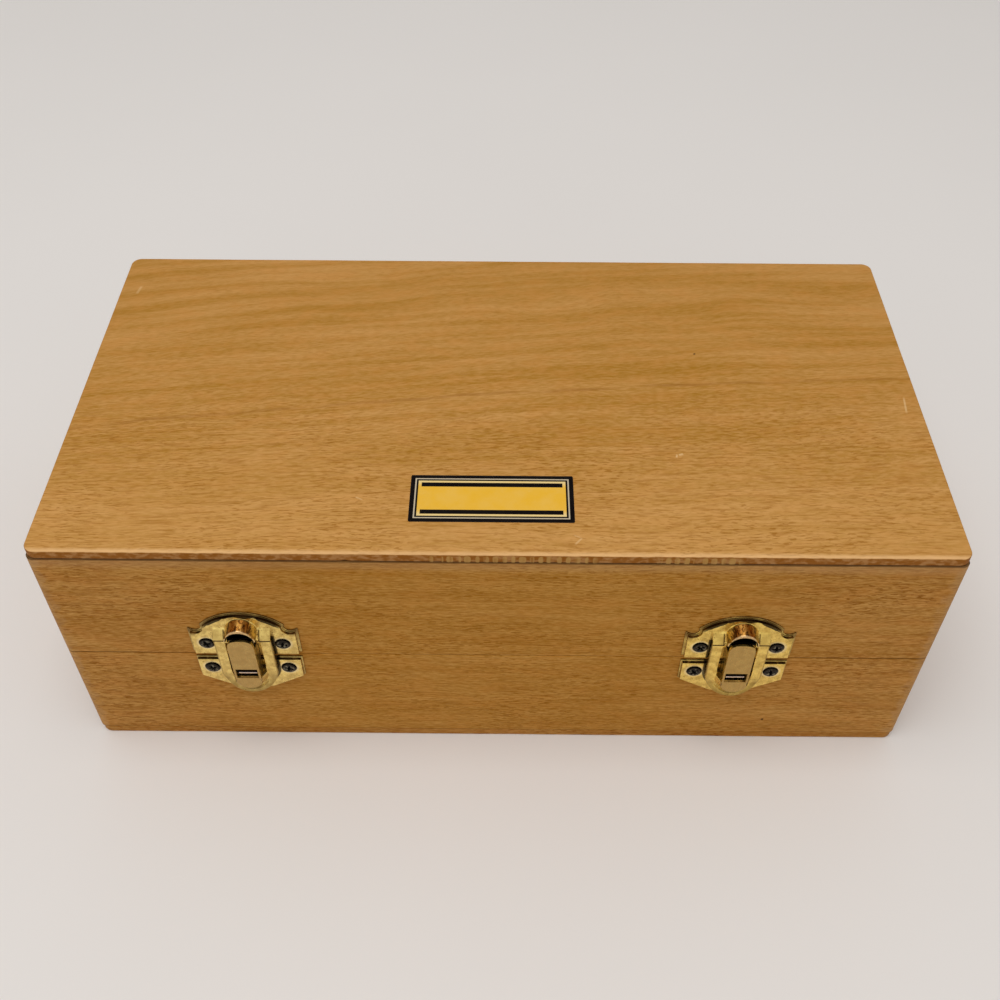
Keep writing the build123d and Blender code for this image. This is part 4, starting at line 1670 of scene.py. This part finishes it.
@dataclass
class LoupeCase:
    """The whole case.

    Attributes:
        clasp_centres: the clasps' x; hinge_centres, the hinges'.
        front_face: the y of the front boards' face; back_face, of the back boards'.
        seam: the height of the joint between lid and base.
        strike_screws: the screws' distance from a clasp's middle, and their height.
    """

    clasp_centres: Pair = (-69.0, 66.0)
    hinge_centres: Pair = (-74.0, 74.0)
    front_face: float = -63.0
    back_face: float = 63.0
    seam: float = 41.0
    strike_screws: Pair = (10.4, 47.5)
    keeper_screws: Pair = (10.7, 36.3)
    hinge_screws: Pair = (7.5, 9.3)
    amber: Colour = (0.450, 0.200, 0.004)
    edge_brown: Colour = (0.27, 0.088, 0.005)
    rim_highlight: Colour = (0.95, 0.60, 0.29)
    grime: Colour = (0.045, 0.018, 0.004)
    worn: Colour = (0.50, 0.33, 0.17)
    front_top_sheen: Colour = (0.47, 0.29, 0.15)
    rubbed: Colour = (0.43, 0.26, 0.084)
    spring_white: Colour = (0.95, 0.80, 0.72)
    spring_dull: Colour = (0.70, 0.52, 0.44)
    bronze: Colour = (0.17, 0.10, 0.032)
    shadow: Colour = (0.006, 0.004, 0.003)

    def frames(self) -> None:
        """The boards of the base and of the lid."""
        under_panel = Band("z", 80.6, 82.0, 0.14, self.grime, 0.65, ragged=0.25)
        over_panel = Band("z", 2.2, 3.25, 0.12, self.grime, 0.45, ragged=0.2)
        front_features = (
            Band("x", -75.0, 75.0, 40.0, self.amber, 0.22),
            Band("x", 117.2, 121.0, 1.2, self.worn, 0.22, ragged=7.0, mirrored=True),
            # Painted sheen near the top of the front boards.
            Band("z", 78.0, 82.0, 1.6, self.front_top_sheen, 0.24, ragged=1.2),
            SeamShade(self.seam),
            under_panel,
            over_panel,
            Stroke(Lay.FRONT, (79.0, 9.8), 1.2, 0.5, 70.0, self.grime, 0.9),
        )
        back_features = (SeamShade(self.seam), under_panel, over_panel)
        back = Timber("wood_back", Lay.FRONT, (-210.0, 60.0, 20.0), features=back_features)
        side = Timber("wood_side", Lay.SIDE, (77.0, -40.0, 5.0), features=(under_panel, over_panel))
        for body in ("base", "lid"):
            front = Timber(f"wood_{body}_front", Lay.FRONT, (31.0, 9.0, 0.0), features=front_features)
            Frame(body, front, back, side).build()

    def panels(self) -> None:
        """The top panel with its wear, and the bottom panel."""
        line = GrowthLine()
        top = FiguredTimber(
            "wood_top",
            Lay.FLAT,
            (12.0, 33.0, 0.0),
            pale=(0.600, 0.312, 0.098),
            deep=(0.355, 0.158, 0.008),
            pore=(0.290, 0.104, 0.002),
            red=(0.570, 0.245, 0.055),
            sway=8.0,
            ripple=0.6,
            clouds=Weave(60.0, 16.0, 0.25, 0.75, 0.24),
            bands=Weave(90.0, 3.2, 0.32, 0.68, 0.34),
            fibres=Weave(2.6, 0.60, 0.32, 0.68, 0.42),
            lines=Weave(9.0, 0.80, 0.50, 0.66, 0.36),
            dashes=Weave(2.4, 0.48, 0.53, 0.64, 0.58),
            line=line,
            features=(
                line,
                # Painted highlight along the top's front edge.
                Band("y", -66.0, -61.9, 0.7, self.rim_highlight, 0.50, ragged=0.8),
                Band("z", 80.0, 83.72, 0.10, self.edge_brown, 0.97, ragged=0.25, patchy=0.30),
                Band("z", 80.0, 81.42, 0.14, self.grime, 0.88, ragged=0.35),
                CutterMarks(),
                Stroke(Lay.FLAT, (49.8, -26.3), 1.6, 0.5, 20.0),
                Stroke(Lay.FLAT, (48.6, -26.9), 1.5, 0.35, 80.0),
                Stroke(Lay.FLAT, (20.7, -58.0), 3.4, 0.35, 50.0, depth=0.45),
                Stroke(Lay.FLAT, (20.4, -56.4), 2.2, 0.3, -25.0, depth=0.35),
                Stroke(Lay.FLAT, (-36.5, -43.7), 2.6, 0.3, -25.0, depth=0.45),
                Stroke(Lay.FLAT, (115.7, -5.5), 8.0, 0.4, 84.0, depth=0.5),
                Stroke(Lay.FLAT, (-114.3, 46.0), 5.0, 0.6, 80.0, depth=0.3),
                Stroke(Lay.FLAT, (58.0, 16.5), 0.9, 0.4, 40.0, self.grime, 0.8),
            ),
        )
        Panel("lid_top", "lid", top, True, relief=0.1, nick=-38.7).build()
        low_edge = Band("z", 0.9, 3.4, 0.3, self.edge_brown, 0.25, ragged=0.4)
        bottom = Timber("wood_bottom", Lay.FLAT, (140.0, 80.0, 12.0), features=(low_edge,))
        Panel("base_bottom", "base", bottom, False).build()

    def clasps(self) -> None:
        """The two clasps, each with its own stains and painted light and shade."""
        flange = Band("y", self.front_face - 0.85, self.front_face + 1.0, 0.10, self.bronze, 0.45)
        # The flap's front-most channel face is painted darker.
        darker_channel_face = Band("y", -70.0, self.front_face - 5.2, 0.15, self.rubbed, 0.80)
        # Lighter painted shade on the flap's faces that look up.
        light_facing_shade = FacingShade(0.5, 0.9, depth=0.5, aside=0.0)
        # Painted shadow on the catch spring above and below the flap's slot.
        above_slot = Band("z", self.seam - 2.45, 60.0, 0.12, self.shadow, 1.0)
        below_slot = Band("z", 0.0, self.seam - 3.55, 0.12, self.shadow, 1.0)
        dark = (above_slot, below_slot)
        strip = Plating(
            "spring_strip", self.spring_white, self.spring_dull, polish=0.30, dullness=0.4, features=dark
        ).material()
        pin = Plating("dark_pin", self.shadow, self.shadow).material()
        tones = {
            "left": ((0.98, 0.74, 0.240), (0.54, 0.36, 0.105)),
            "right": ((0.98, 0.71, 0.185), (0.56, 0.36, 0.080)),
        }
        for x, (side, tone) in zip(self.clasp_centres, tones.items()):
            rows = (self.strike_screws, self.keeper_screws)
            # Painted highlight rings and painted shadow lines round the clasps' screws.
            screw_rings = ScrewHighlightRings(tuple((x + sign * across, z) for across, z in rows for sign in (-1, 1)))
            # The plates' stains come with painted shade, painted highlight rings, the hood's painted light
            # and the flap's painted shadow.
            stains_and_painted_light = (flange, FacingShade(), ArchShade(x), screw_rings, HoodToneAndLight(x), FlapShade(x))
            plate = Plating(f"clasp_plating_{side}", *tone, features=stains_and_painted_light).material()
            # The flaps get the darker channel face, lighter painted shade on faces that look up, and
            # painted shade at their outline.
            worn = (darker_channel_face, light_facing_shade, FlapEdgeShade(x))
            lever = Plating(f"flap_plating_{side}", *tone, features=worn).material()
            Clasp(side, plate, lever, strip, pin, x).build()

    def hinges(self) -> None:
        """The two hinges."""
        # The hinges get painted shade on faces that look up and aside.
        metal = Plating("hinge_plating", polish=0.26, features=(FacingShade(depth=0.6, aside=0.5),)).material()
        for side in ("left", "right"):
            Hinge(side, metal).build()

    def screws(self) -> None:
        """All the screws, four to a group: the clasps' on the front and the hinges' behind."""
        steel = BlackedSteel().material()
        across, rise = self.hinge_screws
        front = (self.clasp_centres, self.front_face - 1.3, -1, 2.05, 1.0, 7.8)
        back = (self.hinge_centres, self.back_face + 0.9, 1, 1.75, 0.85, 6.9)
        for name, body, (away, z), (middles, *sizes) in (
            ("strike_screws", "lid", self.strike_screws, front),
            ("keeper_screws", "base", self.keeper_screws, front),
            ("hinge_lid_screws", "lid", (across, self.seam + rise), back),
            ("hinge_base_screws", "base", (across, self.seam - rise), back),
        ):
            centres = tuple((x + sign * away, z) for x in middles for sign in (-1, 1))
            PhillipsScrews(name, body, steel, centres, *sizes).build()

    def build(self) -> None:
        """Every sub-assembly, in order."""
        self.frames()
        self.panels()
        Label().build()
        foam = Foam().material()
        BaseInsert(foam).build()
        LidPad(foam).build()
        self.clasps()
        self.hinges()
        self.screws()


def write_sizes() -> None:
    """Put the CAD box and the dressed case's box into lists."""
    boxes = {"cad": cad_box, "visual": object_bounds()}
    lists = {name: [list(corner) for corner in box] for name, box in boxes.items()}


def main() -> None:
    """Build the studio and the case, in order."""
    logging.basicConfig(level=logging.INFO, format="%(name)s: %(message)s")
    Studio().build()
    LoupeCase().build()
    write_sizes()


if __name__ == "__main__":
    main()
